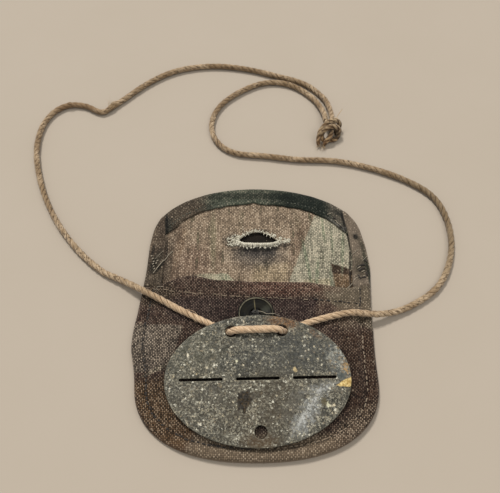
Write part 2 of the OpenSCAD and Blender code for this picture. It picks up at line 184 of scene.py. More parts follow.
def bundle(name, tubes):
    """Several tubes as one piece."""
    points, faces, lays, start = [], [], [], 0
    for p, f, c in tubes:
        points.append(p)
        lays.append(c)
        faces += [tuple(start + i for i in face) for face in f]
        start += len(p)
    return build(name, np.vstack(points), faces, np.vstack(lays))


def uneven(places, size, seed):
    """A smooth random value from -1 to 1 at each place, that changes over about size."""
    off = Vector((13.7 * seed, 5.1 * seed, 9.3 * seed))
    return np.array([noise.noise(Vector(p) / size + off) for p in places])


def twine(line, thick, seed):
    """One run of the twine, a little thicker and thinner along its length, and fuller on the disc."""
    swell = 1.05 + 0.07 * uneven(line, 0.004, seed) + 0.05 * uneven(line, 0.0013, seed + 1)
    disc_top = 0.0090
    on_disc = np.clip((line[:, 2] - disc_top) / 0.0004, 0, 1) * (line[:, 1] < 0)
    groove = 0.20 + 0.07 * uneven(line, 0.003, seed + 7)
    return tube(line, thick / 2 * (swell + 0.10 * on_disc), 8 * cord_yarns, cord_yarns, cord_lay, groove)


# The sharp bend in the left run, in place of five points of its route.
KINK = [(-0.0957, 0.1097, 0.0014), (-0.0894, 0.1116, 0.0014), (-0.0851, 0.1108, 0.0014),
        (-0.0812, 0.1090, 0.0014), (-0.0780, 0.1071, 0.0014), (-0.0755, 0.1062, 0.0014),
        (-0.0733, 0.1067, 0.0014), (-0.0715, 0.1084, 0.0014), (-0.0697, 0.1103, 0.0014),
        (-0.0656, 0.1139, 0.0014)]
bend_middle, bend_reach = KINK[5], 0.009
free_below = 0.00145
relax_passes = 150


def relaxed(line):
    """The line with its small bends drawn out where it lies free on the table."""
    away = np.hypot(line[:, 0] - bend_middle[0], line[:, 1] - bend_middle[1])
    free = ((line[:, 2] < free_below) & (away > bend_reach))[1:-1, None]
    for _ in range(relax_passes):
        line[1:-1] += 0.25 * free * (line[:-2] - 2 * line[1:-1] + line[2:])
    return line


left_line = relaxed(flowing(LEFT_ROUTE[:26] + KINK + LEFT_ROUTE[31:], cord_step))
right_line = relaxed(flowing(RIGHT_ROUTE, cord_step))
cord_left = bundle("neck_cord_left_twine", [twine(left_line, cord_thick, 1)])
cord_right = bundle("neck_cord_right_twine", [twine(right_line, cord_thick, 3)])


def put(tree, kind, *inputs, **settings):
    """A shader node with its inputs filled in order: sockets are linked and values are set."""
    node = tree.nodes.new("ShaderNode" + kind)
    for name, value in settings.items():
        setattr(node, name, value)
    for socket, value in zip(node.inputs, inputs):
        if isinstance(value, bpy.types.NodeSocket):
            tree.links.new(value, socket)
        elif value is not None:
            socket.default_value = value
    return node


def calc(tree, operation, *values):
    return put(tree, "Math", *values, operation=operation).outputs[0]


def times(tree, *values):
    """The product of all the values."""
    product = values[0]
    for value in values[1:]:
        product = calc(tree, "MULTIPLY", product, value)
    return product


def vector(tree, operation, *values):
    node = put(tree, "VectorMath", *values, operation=operation)
    return node.outputs["Value" if operation in ("LENGTH", "DOT_PRODUCT") else "Vector"]


def step_between(tree, value, low, high, to_low=0.0, to_high=1.0):
    """A smooth step from to_low at low to to_high at high."""
    node = put(tree, "MapRange", value, low, high, to_low, to_high, interpolation_type="SMOOTHSTEP")
    return node.outputs[0]


def mix(tree, share, first, second, way="MIX"):
    """The second colour over the first one, by a share."""
    node = put(tree, "Mix", share, data_type="RGBA", blend_type=way)
    for socket, value in zip((node.inputs[6], node.inputs[7]), (first, second)):
        if isinstance(value, bpy.types.NodeSocket):
            tree.links.new(value, socket)
        else:
            socket.default_value = value
    return node.outputs[2]


def cloudy(tree, place, size, detail=3.0, rough=0.55):
    """A cloudy value about 0.5 that changes over about size."""
    return put(tree, "TexNoise", place, None, 1 / size, detail, rough).outputs[0]


def patches(tree, place, size, low, high, to_low=0.0, to_high=1.0, detail=3.0):
    """Soft patches of about size: a smooth step of a cloudy value from low to high."""
    return step_between(tree, cloudy(tree, place, size, detail), low, high, to_low, to_high)


def toned(tree, colour, tone):
    """The colour times a grey tone."""
    return mix(tree, 1.0, colour, put(tree, "CombineColor", tone, tone, tone).outputs[0], "MULTIPLY")


def far_from(tree, place, centre):
    return vector(tree, "LENGTH", vector(tree, "SUBTRACT", place, centre))


def shade(red, green, blue):
    """A colour as a screen shows it, from 0 to 255, as the shader needs it."""
    return tuple(((c / 255 + 0.055) / 1.055) ** 2.4 for c in (red, green, blue)) + (1.0,)


def effect(name, inputs, outputs):
    """An empty shader group with named sockets, and the nodes of its two ends."""
    group = bpy.data.node_groups.new(name, "ShaderNodeTree")
    for socket, kind in inputs.items():
        group.interface.new_socket(socket, in_out="INPUT", socket_type="NodeSocket" + kind)
    for socket, kind in outputs.items():
        group.interface.new_socket(socket, in_out="OUTPUT", socket_type="NodeSocket" + kind)
    return group, group.nodes.new("NodeGroupInput").outputs, group.nodes.new("NodeGroupOutput").inputs


def give(tree, sockets, **values):
    """Links each value to the socket of its name."""
    for name, value in values.items():
        tree.links.new(value, sockets[name.replace("_", " ")])


def placed(tree, group, **values):
    """An effect in a material, with its own values by name."""
    node = tree.nodes.new("ShaderNodeGroup")
    node.node_tree = group
    for name, value in values.items():
        socket = node.inputs[name.replace("_", " ")]
        if isinstance(value, bpy.types.NodeSocket):
            tree.links.new(value, socket)
        else:
            socket.default_value = value
    return node.outputs


def finish_material(name, roughness, specular, sheen=0.0):
    """A material with its shader, and its tree, ready for colour and relief."""
    material = bpy.data.materials.new(name)
    material.use_nodes = True
    tree = material.node_tree
    shader = tree.nodes["Principled BSDF"]
    shader.inputs["Roughness"].default_value = roughness
    shader.inputs["Specular IOR Level"].default_value = specular
    shader.inputs["Sheen Weight"].default_value = sheen
    return material, tree, shader


def relief(tree, shader, height, depth):
    """A bump of that depth in metres."""
    bump = put(tree, "Bump", 1.0, depth)
    give(tree, bump.inputs, Height=height)
    give(tree, shader.inputs, Normal=bump.outputs[0])


def dress(piece, material):
    """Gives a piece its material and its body."""
    piece.data.materials.append(material)
    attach(piece, "root")


fibre_grain, grain_in, grain_out = effect(
    "fibre grain", {"Lay": "Vector", "Fineness": "Float"}, {"Streak": "Float", "Patch": "Float"})
drawn_out = vector(fibre_grain, "MULTIPLY", grain_in["Lay"], (1.0, 1.0, 0.09))
finer = vector(fibre_grain, "SCALE", drawn_out, None, None, grain_in["Fineness"])
give(fibre_grain, grain_out, Streak=cloudy(fibre_grain, finer, 1.0, 3.0, 0.6),
     Patch=put(fibre_grain, "TexNoise", grain_in["Lay"], None, 210.0, 2.0, 0.5).outputs[0])


knot_low, knot_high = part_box("cord_knot")
knot_mouth = knot_high.y


def twine_material(name, light, dark, worn, soil, groove_shade, sunk=1.0, tails=1.0):
    """Natural fibre: pale on the yarns, painted shade in the grooves, peach by the disc, browner far off.

    sunk is the painted shade low down, between its own turns: how dark it gets there. tails is the
    painted light on the ends below the knot: how light they get.
    """
    material, tree, shader = finish_material(name, roughness=0.9, specular=0.2, sheen=0.2)
    lay = put(tree, "Attribute", attribute_name="lay").outputs["Vector"]
    place = put(tree, "TexCoord").outputs["Object"]
    grain = placed(tree, fibre_grain, Lay=lay, Fineness=5200.0)
    fine = placed(tree, fibre_grain, Lay=lay, Fineness=12000.0)
    off_axis = vector(tree, "LENGTH", vector(tree, "MULTIPLY", lay, (1.0, 1.0, 0.0)))
    streak = step_between(tree, grain["Streak"], 0.38, 0.62)
    between_holes = (0.0, -0.012, 0.009)
    handled = step_between(tree, far_from(tree, place, between_holes), 0.058, 0.016, 0.0, 0.85)
    colour = mix(tree, streak, dark, light)
    soiled = patches(tree, place, 0.011, 0.40, 0.62, detail=2.0)
    soiled = times(tree, soiled, calc(tree, "SUBTRACT", 1.0, handled))
    colour = mix(tree, times(tree, soiled, 0.75), colour, worn)
    colour = mix(tree, step_between(tree, grain["Patch"], 0.50, 0.70, 0.0, 0.45), colour, worn)
    colour = mix(tree, patches(tree, place, 0.0012, 0.54, 0.64, 0.0, 0.75), colour, soil)
    colour = mix(tree, handled, colour, mix(tree, streak, shade(184, 152, 118), shade(226, 198, 164)))
    brown_stretches = (((0.082, 0.046, 0.0), 0.040, shade(112, 94, 68)),
                       ((-0.087, 0.110, 0.0), 0.020, shade(128, 102, 72)))
    for centre, size, tint in brown_stretches:
        browner = step_between(tree, far_from(tree, place, centre), size, 0.3 * size, 0.0, 0.72)
        colour = mix(tree, browner, colour, tint)
    # Painted shade in the grooves between the yarns.
    on_yarn = step_between(tree, off_axis, 0.41 * cord_thick, 0.475 * cord_thick)
    colour = mix(tree, 1.0, colour, mix(tree, on_yarn, groove_shade, (1, 1, 1, 1)), "MULTIPLY")
    # Painted shade low down between the knot's turns, and painted light on its tails.
    _, along, height_up = put(tree, "SeparateXYZ", place).outputs
    painted_low_shade = step_between(tree, height_up, 0.0016, 0.0054, sunk, 1.0)
    painted_tail_light = step_between(tree, along, knot_mouth - 0.0084, knot_mouth - 0.0108, 0.0, tails)
    colour = toned(tree, colour, calc(tree, "MAXIMUM", painted_low_shade, painted_tail_light))
    give(tree, shader.inputs, Base_Color=colour)
    height = calc(tree, "ADD", grain["Streak"], times(tree, fine["Streak"], 0.6))
    relief(tree, shader, height, depth=0.00020)
    return material


twine_finish = twine_material(
    "natural twine", light=shade(202, 179, 148), dark=shade(136, 113, 84), worn=shade(126, 102, 72),
    soil=shade(80, 63, 43), groove_shade=(0.30, 0.24, 0.18, 1))
dress(cord_left, twine_finish)
dress(cord_right, twine_finish)
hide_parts("neck_cord_left")
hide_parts("neck_cord_right")


# Knot
# Both ends of the cord, tied in one overhand knot and pulled tight: two turns lie over the front,
# the cords run down under them, and two short tails leave it at the lower left.
knot_across = (knot_low.x + knot_high.x) / 2
knot_step = 0.0004
tail_long = 0.0022
# Places across, down from the knot's mouth and up, in millimetres.
KNOT_LEFT_CORD = [
    (-1.5, -0.8, 3.5), (-1.3, 1.0, 3.5), (-0.7, 2.6, 3.4), (0.2, 4.6, 3.3), (0.7, 6.2, 3.9),
    (0.55, 8.0, 4.7), (-0.05, 9.6, 4.2), (-1.1, 10.8, 3.0), (-2.1, 11.6, 2.0), (-2.8, 12.4, 1.5),
    (-3.1, 13.4, 1.35)]
KNOT_RIGHT_CORD = [
    (1.5, -0.8, 3.5), (1.7, 1.0, 3.4), (2.4, 2.8, 3.0), (3.4, 4.6, 2.6), (4.3, 6.4, 2.1),
    (3.9, 8.2, 1.6), (2.5, 9.4, 1.4), (0.7, 9.9, 1.35), (-0.6, 9.4, 1.5)]
KNOT_UPPER_TURN = [
    (2.2, 4.4, 1.5), (4.2, 3.3, 1.8), (5.0, 2.2, 3.0), (4.3, 1.6, 5.0), (2.0, 2.0, 6.6),
    (-0.5, 3.5, 7.0), (-2.9, 5.5, 6.6), (-4.5, 7.3, 5.4), (-5.3, 9.1, 4.0), (-5.6, 10.6, 2.6),
    (-5.7, 12.0, 1.7), (-5.6, 13.0, 1.35)]
KNOT_LOWER_TURN = [
    (2.6, 5.6, 1.4), (4.2, 5.9, 1.8), (4.6, 5.8, 3.2), (3.8, 5.7, 5.2), (1.4, 6.1, 6.8),
    (-0.7, 6.8, 7.0), (-2.7, 7.8, 6.4), (-3.9, 8.6, 5.0), (-4.2, 9.6, 3.6), (-3.5, 10.4, 2.3),
    (-2.2, 10.6, 1.5)]


def knot_strand(path):
    """One strand of the knot as a smooth line."""
    across, down, up = np.array(path).T / 1000
    line = flowing(np.column_stack([knot_across + across, knot_mouth - down, up]), knot_step)
    for _ in range(4):
        line[1:-1] = (line[:-2] + 2 * line[1:-1] + line[2:]) / 4
    return spaced(line, knot_step)


def knot_thick(line, has_tail):
    """Pulled tight in the knot, and thinner towards a frayed end."""
    left = np.linspace(length_of(line), 0, len(line))
    return cord_thick * (0.88 - has_tail * 0.38 * np.clip(1 - left / tail_long, 0, 1) ** 1.5)


knot_strands = [
    knot_strand(path) for path in (KNOT_LEFT_CORD, KNOT_RIGHT_CORD, KNOT_UPPER_TURN, KNOT_LOWER_TURN)]
knot = bundle("cord_knot_twine", [
    twine(line, knot_thick(line, n in (0, 2)), 5 + n) for n, line in enumerate(knot_strands)])

# The knot's twine has painted shade low down and painted light on its tails.
knot_finish = twine_material(
    "twine in the knot", light=shade(206, 184, 150), dark=shade(150, 126, 94), worn=shade(134, 108, 76),
    soil=shade(90, 72, 50), groove_shade=(0.26, 0.20, 0.15, 1), sunk=0.60, tails=1.6)
dress(knot, knot_finish)
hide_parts("cord_knot")


# Fibres of the twine
# Fine ends of fibre that stand off the cord, thicker in the frayed places: at the sharp bend in
# its left run, at the knot's tails and by the disc.
random = np.random.default_rng(41)
fibre_longest = 0.0026
left_count, right_count, knot_count = 430, 380, 32


def fibres_along(line, count, longest):
    """Curved single fibres that leave the twine at random places."""
    hairs, thin, spread = [], 0.000035, 0.5
    for _ in range(count):
        i = int(random.integers(2, len(line) - 3))
        ahead = line[i + 2] - line[i - 2]
        ahead /= np.linalg.norm(ahead) * random.choice((-1, 1))
        out = np.cross(ahead, random.normal(size=3))
        out /= np.linalg.norm(out)
        out[2] = abs(out[2]) if line[i][2] < 0.002 else out[2]
        long = longest * random.uniform(0.3, 1)
        t = np.linspace(0, 1, 6)[:, None]
        bend = random.normal(scale=0.25, size=3)
        hair = line[i] + out * 0.42 * cord_thick + long * (
            t * ahead * random.uniform(0.4, 1) + t * t * spread * out + t ** 3 * bend)
        hair[:, 2] = np.maximum(hair[:, 2], 2 * thin)
        hairs.append(tube(hair, np.linspace(1, 0.3, 6) * thin, 3))
    return hairs


def tuft(place, ahead, count, longest, open_angle, thin):
    """Fibres that fan out from one place."""
    hairs = []
    ahead = np.array(ahead) / np.linalg.norm(ahead)
    for _ in range(count):
        out = random.normal(size=3) * open_angle
        t = np.linspace(0, 1, 7)[:, None]
        long = longest * random.uniform(0.45, 1)
        hair = np.array(place) + random.normal(scale=0.00035, size=3) + long * (
            t * (ahead + out) + t * t * random.normal(scale=0.3, size=3))
        hair[:, 2] = np.maximum(hair[:, 2], 2 * thin)
        hairs.append(tube(hair, np.linspace(1, 0.35, 7) * thin, 4))
    return hairs


def parted(line, place, long, count):
    """Fibres that have come loose from the twist and run along the outside of the cord."""
    near = int(np.argmin(np.hypot(line[:, 0] - place[0], line[:, 1] - place[1])))
    hairs = []
    for _ in range(count):
        i = near + int(random.integers(-3, 4))
        part = line[i:i + int(long * random.uniform(0.6, 1.1) / cord_step)]
        ahead = np.gradient(part, axis=0)
        side = np.column_stack([-ahead[:, 1], ahead[:, 0], 0 * ahead[:, 0]])
        side /= np.linalg.norm(side, axis=1)[:, None]
        t = np.linspace(0, 1, len(part))
        turn = random.uniform(-1.2, 1.2) + random.uniform(-0.9, 0.9) * t
        out = cord_thick * (0.50 + random.uniform(0.0, 0.22) * np.sin(np.pi * t))
        hair = part + side * (out * np.sin(turn))[:, None]
        hair[:, 2] += out * np.cos(turn)
        hairs.append(tube(hair, 0.00013 * (1 - 0.5 * np.abs(2 * t - 1) ** 3), 5))
    return hairs


left_fibres = bundle("cord_left_fibres", fibres_along(left_line, left_count, fibre_longest)
                     + tuft((-0.0716, 0.1086, 0.0020), (-0.1, 1.0, 0.25), 6, 0.0042, 0.22, 0.00006)
                     + tuft((-0.0700, 0.1098, 0.0020), (-0.5, 1.0, 0.5), 8, 0.0026, 0.45, 0.00004)
                     + parted(left_line, (-0.0714, 0.1086), 0.0052, 9)
                     + parted(left_line, (-0.0915, 0.1113), 0.0034, 5)
                     + [tube(flowing([(-0.0285, -0.0022, 0.0066), (-0.0262, -0.0027, 0.0072),
                                      (-0.0238, -0.0036, 0.0070), (-0.0216, -0.0058, 0.0058)], knot_step),
                             0.00008, 5)])
right_fibres = bundle("cord_right_fibres", fibres_along(right_line, right_count, fibre_longest))
knot_fibres = bundle("cord_knot_fibres", [
    hair for line in knot_strands for hair in fibres_along(line, knot_count, 0.0020)]
                     + tuft(knot_strands[2][-3], (-0.10, -1, -0.1), 44, 0.0022, 0.40, 0.00004)
                     + tuft(knot_strands[0][-3], (-0.25, -1, -0.1), 44, 0.0024, 0.40, 0.00004)
                     + tuft((0.0352, 0.0998, 0.0030), (0.3, 1.0, 0.3), 10, 0.0030, 0.35, 0.00004)
                     + [tube(flowing([(0.0394, 0.0974, 0.0066), (0.0403, 0.0989, 0.0074),
                                      (0.0413, 0.1001, 0.0081), (0.0423, 0.1014, 0.0088)], knot_step),
                             0.00013, 5)])

fibre_finish = twine_material(
    "loose fibre", light=shade(206, 182, 146), dark=shade(176, 150, 114), worn=shade(150, 124, 88),
    soil=shade(160, 136, 100), groove_shade=(1, 1, 1, 1))
for piece, slot in ((left_fibres, "cord"), (right_fibres, "cord"), (knot_fibres, "knot")):
    dress(piece, fibre_finish)


# Back panel and flap
# One piece of printed cotton. Its lower part is the back of the pocket; its upper part is the
# open flap, which shows its inside, and has the buttonhole cut through it.
cloth_thick = 0.001
hem_wrap = 0.0013
back_corners = np.array([v.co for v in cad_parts["pouch_back"].data.vertices])
slit_low, slit_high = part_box("buttonhole_stitching")
slit_middle = (slit_low + slit_high) / 2
slit_long, slit_arch, slit_sag = 0.0174, 0.0045, 0.0014
pucker_wide, pucker_tall = 0.016, 0.0065


def smoothed(loop, passes):
    for _ in range(passes):
        loop = (np.roll(loop, 1, 0) + 2 * loop + np.roll(loop, -1, 0)) / 4
    return loop


def pouch_rim():
    """The pouch's outline on the surface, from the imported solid, once round from the left."""
    rim = back_corners[back_corners[:, 2] < 1e-6][:, :2]
    rim = rim[np.hypot(rim[:, 0] - slit_middle.x, rim[:, 1] - slit_middle.y) > 0.011]
    rim = rim[np.argsort(np.arctan2(rim[:, 1], rim[:, 0]))]
    return smoothed(spaced(rim, 0.0008, closed=True), 14)


def reach(points, loop, closed=True):
    """Distance of each point from a line, and how far along it the nearest place lies."""
    a, b = (loop, np.roll(loop, -1, 0)) if closed else (loop[:-1], loop[1:])
    ab = b - a
    long = np.maximum((ab ** 2).sum(1), 1e-18)
    gone = np.r_[0, np.cumsum(np.sqrt(long))][:-1]
    far, place = [], []
    for part in np.array_split(points, max(1, len(points) // 1500)):
        ap = part[:, None] - a
        t = np.clip((ap * ab).sum(2) / long, 0, 1)
        d = np.linalg.norm(ap - t[..., None] * ab, axis=2)
        k = d.argmin(1)
        row = np.arange(len(part))
        far.append(d[row, k])
        place.append(gone[k] + t[row, k] * np.sqrt(long[k]))
    return np.concatenate(far), np.concatenate(place)


def within(points, loop):
    """Which points lie inside a closed line."""
    held = np.zeros(len(points), bool)
    x, y = points.T
    for (ax, ay), (bx, by) in zip(loop, np.roll(loop, -1, 0)):
        if ay != by:
            held ^= ((ay > y) != (by > y)) & (x < (bx - ax) * (y - ay) / (by - ay) + ax)
    return held


def turned(loop, anticlockwise):
    x, y = loop.T
    area = (x * np.roll(y, -1) - np.roll(x, -1) * y).sum()
    return loop if (area > 0) == anticlockwise else loop[::-1]


def around(loop, step=1):
    """The direction of a closed line at each of its points, over step points to both sides."""
    return np.roll(loop, -step, 0) - np.roll(loop, step, 0)


def left_of(ahead):
    """Unit vectors to the left of each direction."""
    return np.column_stack([-ahead[:, 1], ahead[:, 0]]) / np.linalg.norm(ahead, axis=1)[:, None]


def thin_piece(name, rims, upper, lower, middle, step, edge):
    """A piece between an upper and a lower face, which meet in a rounded edge at each rim.

    rims are closed lines, the outer one first and then the holes. step is the size of its faces and
    edge how far inside a rim it has its full height. upper, lower and middle give heights at arrays
    of x and y.
    """
    rims = [turned(np.asarray(rim), i == 0) for i, rim in enumerate(rims)]
    corners = np.vstack(rims)
    starts = np.cumsum([0] + [len(rim) for rim in rims])
    edges = [(s + i, s + (i + 1) % len(rim)) for s, rim in zip(starts, rims) for i in range(len(rim))]

    def inside(points):
        keep = within(points, rims[0])
        for hole in rims[1:]:
            keep &= ~within(points, hole)
        return keep

    def rim_far(points):
        return np.min([reach(points, rim)[0] for rim in rims], axis=0)

    def fits(points, nearest):
        points = points[inside(points)]
        return points[rim_far(points) > nearest]

    inner = []
    for share in (0.12, 0.42, 1.0):
        for rim in rims:
            inner.append(fits(rim + share * edge * left_of(around(rim)), 0.93 * share * edge))
    low, high = corners.min(0), corners.max(0)
    xs, ys = np.meshgrid(np.arange(low[0], high[0], step), np.arange(low[1], high[1], step * 0.866))
    xs = xs + (np.arange(len(ys)) % 2)[:, None] * step / 2
    inner.append(fits(np.column_stack([xs.ravel(), ys.ravel()]), edge + 0.6 * step))
    flat = np.vstack([corners] + inner) * 1000
    found = delaunay_2d_cdt([Vector(p) for p in flat.tolist()], edges, [], 0, 1e-7)
    places = np.array([tuple(v) for v in found[0]]) / 1000
    faces = np.array([f for f in found[2] if len(f) == 3])
    faces = faces[inside(places[faces].mean(1))]
    far = rim_far(places)
    rise = np.sqrt(1 - (1 - np.clip(far / edge, 0, 1)) ** 2)
    x, y = places.T
    centre = middle(x, y)
    top = np.column_stack([x, y, centre + (upper(x, y) - centre) * rise])
    base = np.column_stack([x, y, centre + (lower(x, y) - centre) * rise])
    on_rim = far < 1e-8
    under = np.where(on_rim, np.arange(len(places)), len(places) + np.cumsum(~on_rim) - 1)
    points = np.vstack([top, base[~on_rim]])
    piece = build(name, points, faces.tolist() + under[faces[:, ::-1]].tolist())
    far_values = piece.data.attributes.new("rim_far", "FLOAT", "POINT").data
    far_values.foreach_set("value", np.r_[far, far[~on_rim]].astype(np.float32))
    return piece


def slit_rim(count=72):
    """The open slit, pointed at both ends: its lower lip is nearly straight, its upper one arched."""
    angle = np.linspace(0, 2 * np.pi, count, endpoint=False)
    t = np.cos(angle)
    upper = slit_arch * (1 - np.abs(t + 0.06 * (1 - t * t)) ** 1.95)
    lower = -slit_sag * (1 - t ** 4)
    y = np.where(np.sin(angle) > 0, np.maximum(upper, 0), lower)
    return np.column_stack([slit_middle.x + slit_long / 2 * t, slit_middle.y + y])


def eased(x, row_x, row_y):
    """A value at x from a table, with smooth steps between its rows."""
    row_x, row_y = np.asarray(row_x), np.asarray(row_y)
    i = np.clip(np.searchsorted(row_x, x) - 1, 0, len(row_x) - 2)
    t = np.clip((x - row_x[i]) / (row_x[i + 1] - row_x[i]), 0, 1)
    return row_y[i] + (row_y[i + 1] - row_y[i]) * t * t * (3 - 2 * t)


def ramp(value, low, high):
    t = np.clip((value - low) / (high - low), 0, 1)
    return t * t * (3 - 2 * t)


def waves(x, y, size, seed):
    """Soft unevenness from -1 to 1."""
    return uneven(np.column_stack([x, y, 0 * x]), size, seed)


rim = pouch_rim()


def rim_distance(x, y):
    """How far each place is from the pouch's outline, and how far along it."""
    return reach(np.column_stack([x, y]), rim)


def flap_rise(x, y):
    """How far the flap lifts off the surface, between its hem and the pocket."""
    far, _ = rim_distance(x, y)
    free = ramp(far, 0.0085, 0.017) * ramp(y, 0.012, 0.020)
    pucker = ((x - slit_middle.x) / pucker_wide) ** 2 + ((y - slit_middle.y) / pucker_tall) ** 2
    pucker = np.exp(-pucker ** 2)
    folds = 0.5 + 0.5 * waves(x, 0.35 * y, 0.013, 4)
    return free * (0.0005 * folds + pucker * (0.0006 + 0.00015 * waves(x, y, 0.002, 5)))


def inset_rim():
    """The back panel's rim, drawn in where the flap's hem wraps round it."""
    return rim + hem_wrap * ramp(rim[:, 1], 0.0100, 0.0125)[:, None] * left_of(around(rim))


back_panel = thin_piece(
    "pouch_back_panel", [inset_rim(), slit_rim()],
    lambda x, y: cloth_thick + flap_rise(x, y), flap_rise, lambda x, y: 0.55 * cloth_thick + flap_rise(x, y),
    step=0.0013, edge=0.0006)


weave, weave_in, weave_out = effect(
    "plain weave", {"Position": "Vector", "Pitch": "Float"},
    {"Height": "Float", "Over": "Float", "Crossing": "Float", "Streak": "Float"})
per_pitch = calc(weave, "DIVIDE", 1.0, weave_in["Pitch"])
in_threads = vector(weave, "SCALE", weave_in["Position"], None, None, per_pitch)
thread_axes = put(weave, "SeparateXYZ", in_threads).outputs[:2]
number = [calc(weave, "FLOOR", axis) for axis in thread_axes]
off_middle = [calc(weave, "SUBTRACT", calc(weave, "FRACT", axis), 0.5) for axis in thread_axes]
across_thread = [calc(weave, "COSINE", times(weave, off, math.pi)) for off in off_middle]
warp_up = calc(weave, "MODULO", calc(weave, "ABSOLUTE", calc(weave, "ADD", *number)), 2.0)
flatter = [calc(weave, "MULTIPLY_ADD", a, 0.4, 0.6) for a in across_thread]
bulges = [times(weave, across_thread[k], flatter[1 - k]) for k in (0, 1)]
weave_height = calc(weave, "ADD", times(weave, bulges[0], warp_up),
                    times(weave, bulges[1], calc(weave, "SUBTRACT", 1.0, warp_up)))
each_crossing = put(weave, "CombineXYZ", *number).outputs[0]
along_warp = put(weave, "CombineXYZ", number[0], thread_axes[1]).outputs[0]
drawn = vector(weave, "MULTIPLY", along_warp, (0.37, 0.020, 0.0))
give(weave, weave_out, Height=weave_height, Over=warp_up, Streak=cloudy(weave, drawn, 1.0, 4.0, 0.7),
     Crossing=put(weave, "TexWhiteNoise", each_crossing).outputs["Value"])

print_side, side_in, side_out = effect(
    "print side", {"Position": "Vector", "Corner": "Vector", "Inward": "Vector", "Softness": "Float"},
    {"Mask": "Float"})
from_corner = vector(print_side, "SUBTRACT", side_in["Position"], side_in["Corner"])
depth_in = vector(print_side, "DOT_PRODUCT", from_corner, side_in["Inward"])
give(print_side, side_out, Mask=step_between(
    print_side, depth_in, times(print_side, side_in["Softness"], -1.0), side_in["Softness"]))

blot, blot_in, blot_out = effect(
    "blot", {"Position": "Vector", "Centre": "Vector", "Half Size": "Vector", "Turn": "Float",
             "Ragged": "Float", "Grain": "Float", "Softness": "Float"}, {"Mask": "Float"})
from_centre = vector(blot, "SUBTRACT", blot_in["Position"], blot_in["Centre"])
turned_back = put(blot, "VectorRotate", from_centre, None, None, times(blot, blot_in["Turn"], -1.0),
                  rotation_type="Z_AXIS").outputs[0]
blot_far = vector(blot, "LENGTH", vector(blot, "DIVIDE", turned_back, blot_in["Half Size"]))
per_grain = calc(blot, "DIVIDE", 1.0, blot_in["Grain"])
ragged = put(blot, "TexNoise", blot_in["Position"], None, per_grain, 4.0, 0.62).outputs[0]
blot_far = calc(blot, "MULTIPLY_ADD", calc(blot, "SUBTRACT", ragged, 0.5), blot_in["Ragged"], blot_far)
give(blot, blot_out, Mask=step_between(blot, blot_far, calc(blot, "ADD", 1.0, blot_in["Softness"]),
                                       calc(blot, "SUBTRACT", 1.0, blot_in["Softness"])))

speckle, speckle_in, speckle_out = effect(
    "speckle", {"Position": "Vector", "Size": "Float", "Share": "Float"}, {"Mask": "Float", "Tone": "Float"})
per_size = calc(speckle, "DIVIDE", 1.0, speckle_in["Size"])
cells = put(speckle, "TexVoronoi", speckle_in["Position"], None, per_size)
cell_red, cell_green, cell_blue = put(speckle, "SeparateColor", cells.outputs["Color"]).outputs
grain_size = calc(speckle, "MULTIPLY_ADD", cell_green, 0.30, 0.14)
spot = step_between(speckle, cells.outputs["Distance"], grain_size, times(speckle, grain_size, 0.55))
chosen = calc(speckle, "LESS_THAN", cell_red, speckle_in["Share"])
give(speckle, speckle_out, Mask=times(speckle, spot, chosen), Tone=cell_blue)


def shaken(tree, place, per_metre, amount, detail=3.0, rough=0.5):
    """The place, moved sideways here and there by up to half of amount, for ragged edges."""
    cloud = put(tree, "TexNoise", place, None, per_metre, detail, rough).outputs["Color"]
    moved = vector(tree, "SUBTRACT", cloud, (0.5,) * 3)
    return vector(tree, "ADD", place, vector(tree, "MULTIPLY", moved, (amount, amount, 0.0)))


def patch_mask(tree, place, corners, softness):
    """1 inside a patch with straight sides. Its corners and softness are in millimetres."""
    corners = [np.array(corner) / 1000 for corner in corners]
    masks = []
    for start, end in zip(corners, corners[1:] + corners[:1]):
        side = np.array([start[1] - end[1], end[0] - start[0]])
        side = side / np.linalg.norm(side) * (1 if side @ (np.mean(corners, axis=0) - start) > 0 else -1)
        masks.append(placed(tree, print_side, Position=place, Corner=(*start, 0.0), Inward=(*side, 0.0),
                            Softness=softness / 1000)["Mask"])
    return times(tree, *masks)


def blot_mask(tree, place, x, y, half_x, half_y, turn, ragged=1.0, grain=3.5, softness=0.5):
    """1 inside a ragged oval, with its middle, half size and grain in millimetres."""
    return placed(tree, blot, Position=place, Centre=(x / 1000, y / 1000, 0.0),
                  Half_Size=(half_x / 1000, half_y / 1000, 1.0), Turn=math.radians(turn), Ragged=ragged,
                  Grain=grain / 1000, Softness=softness)["Mask"]


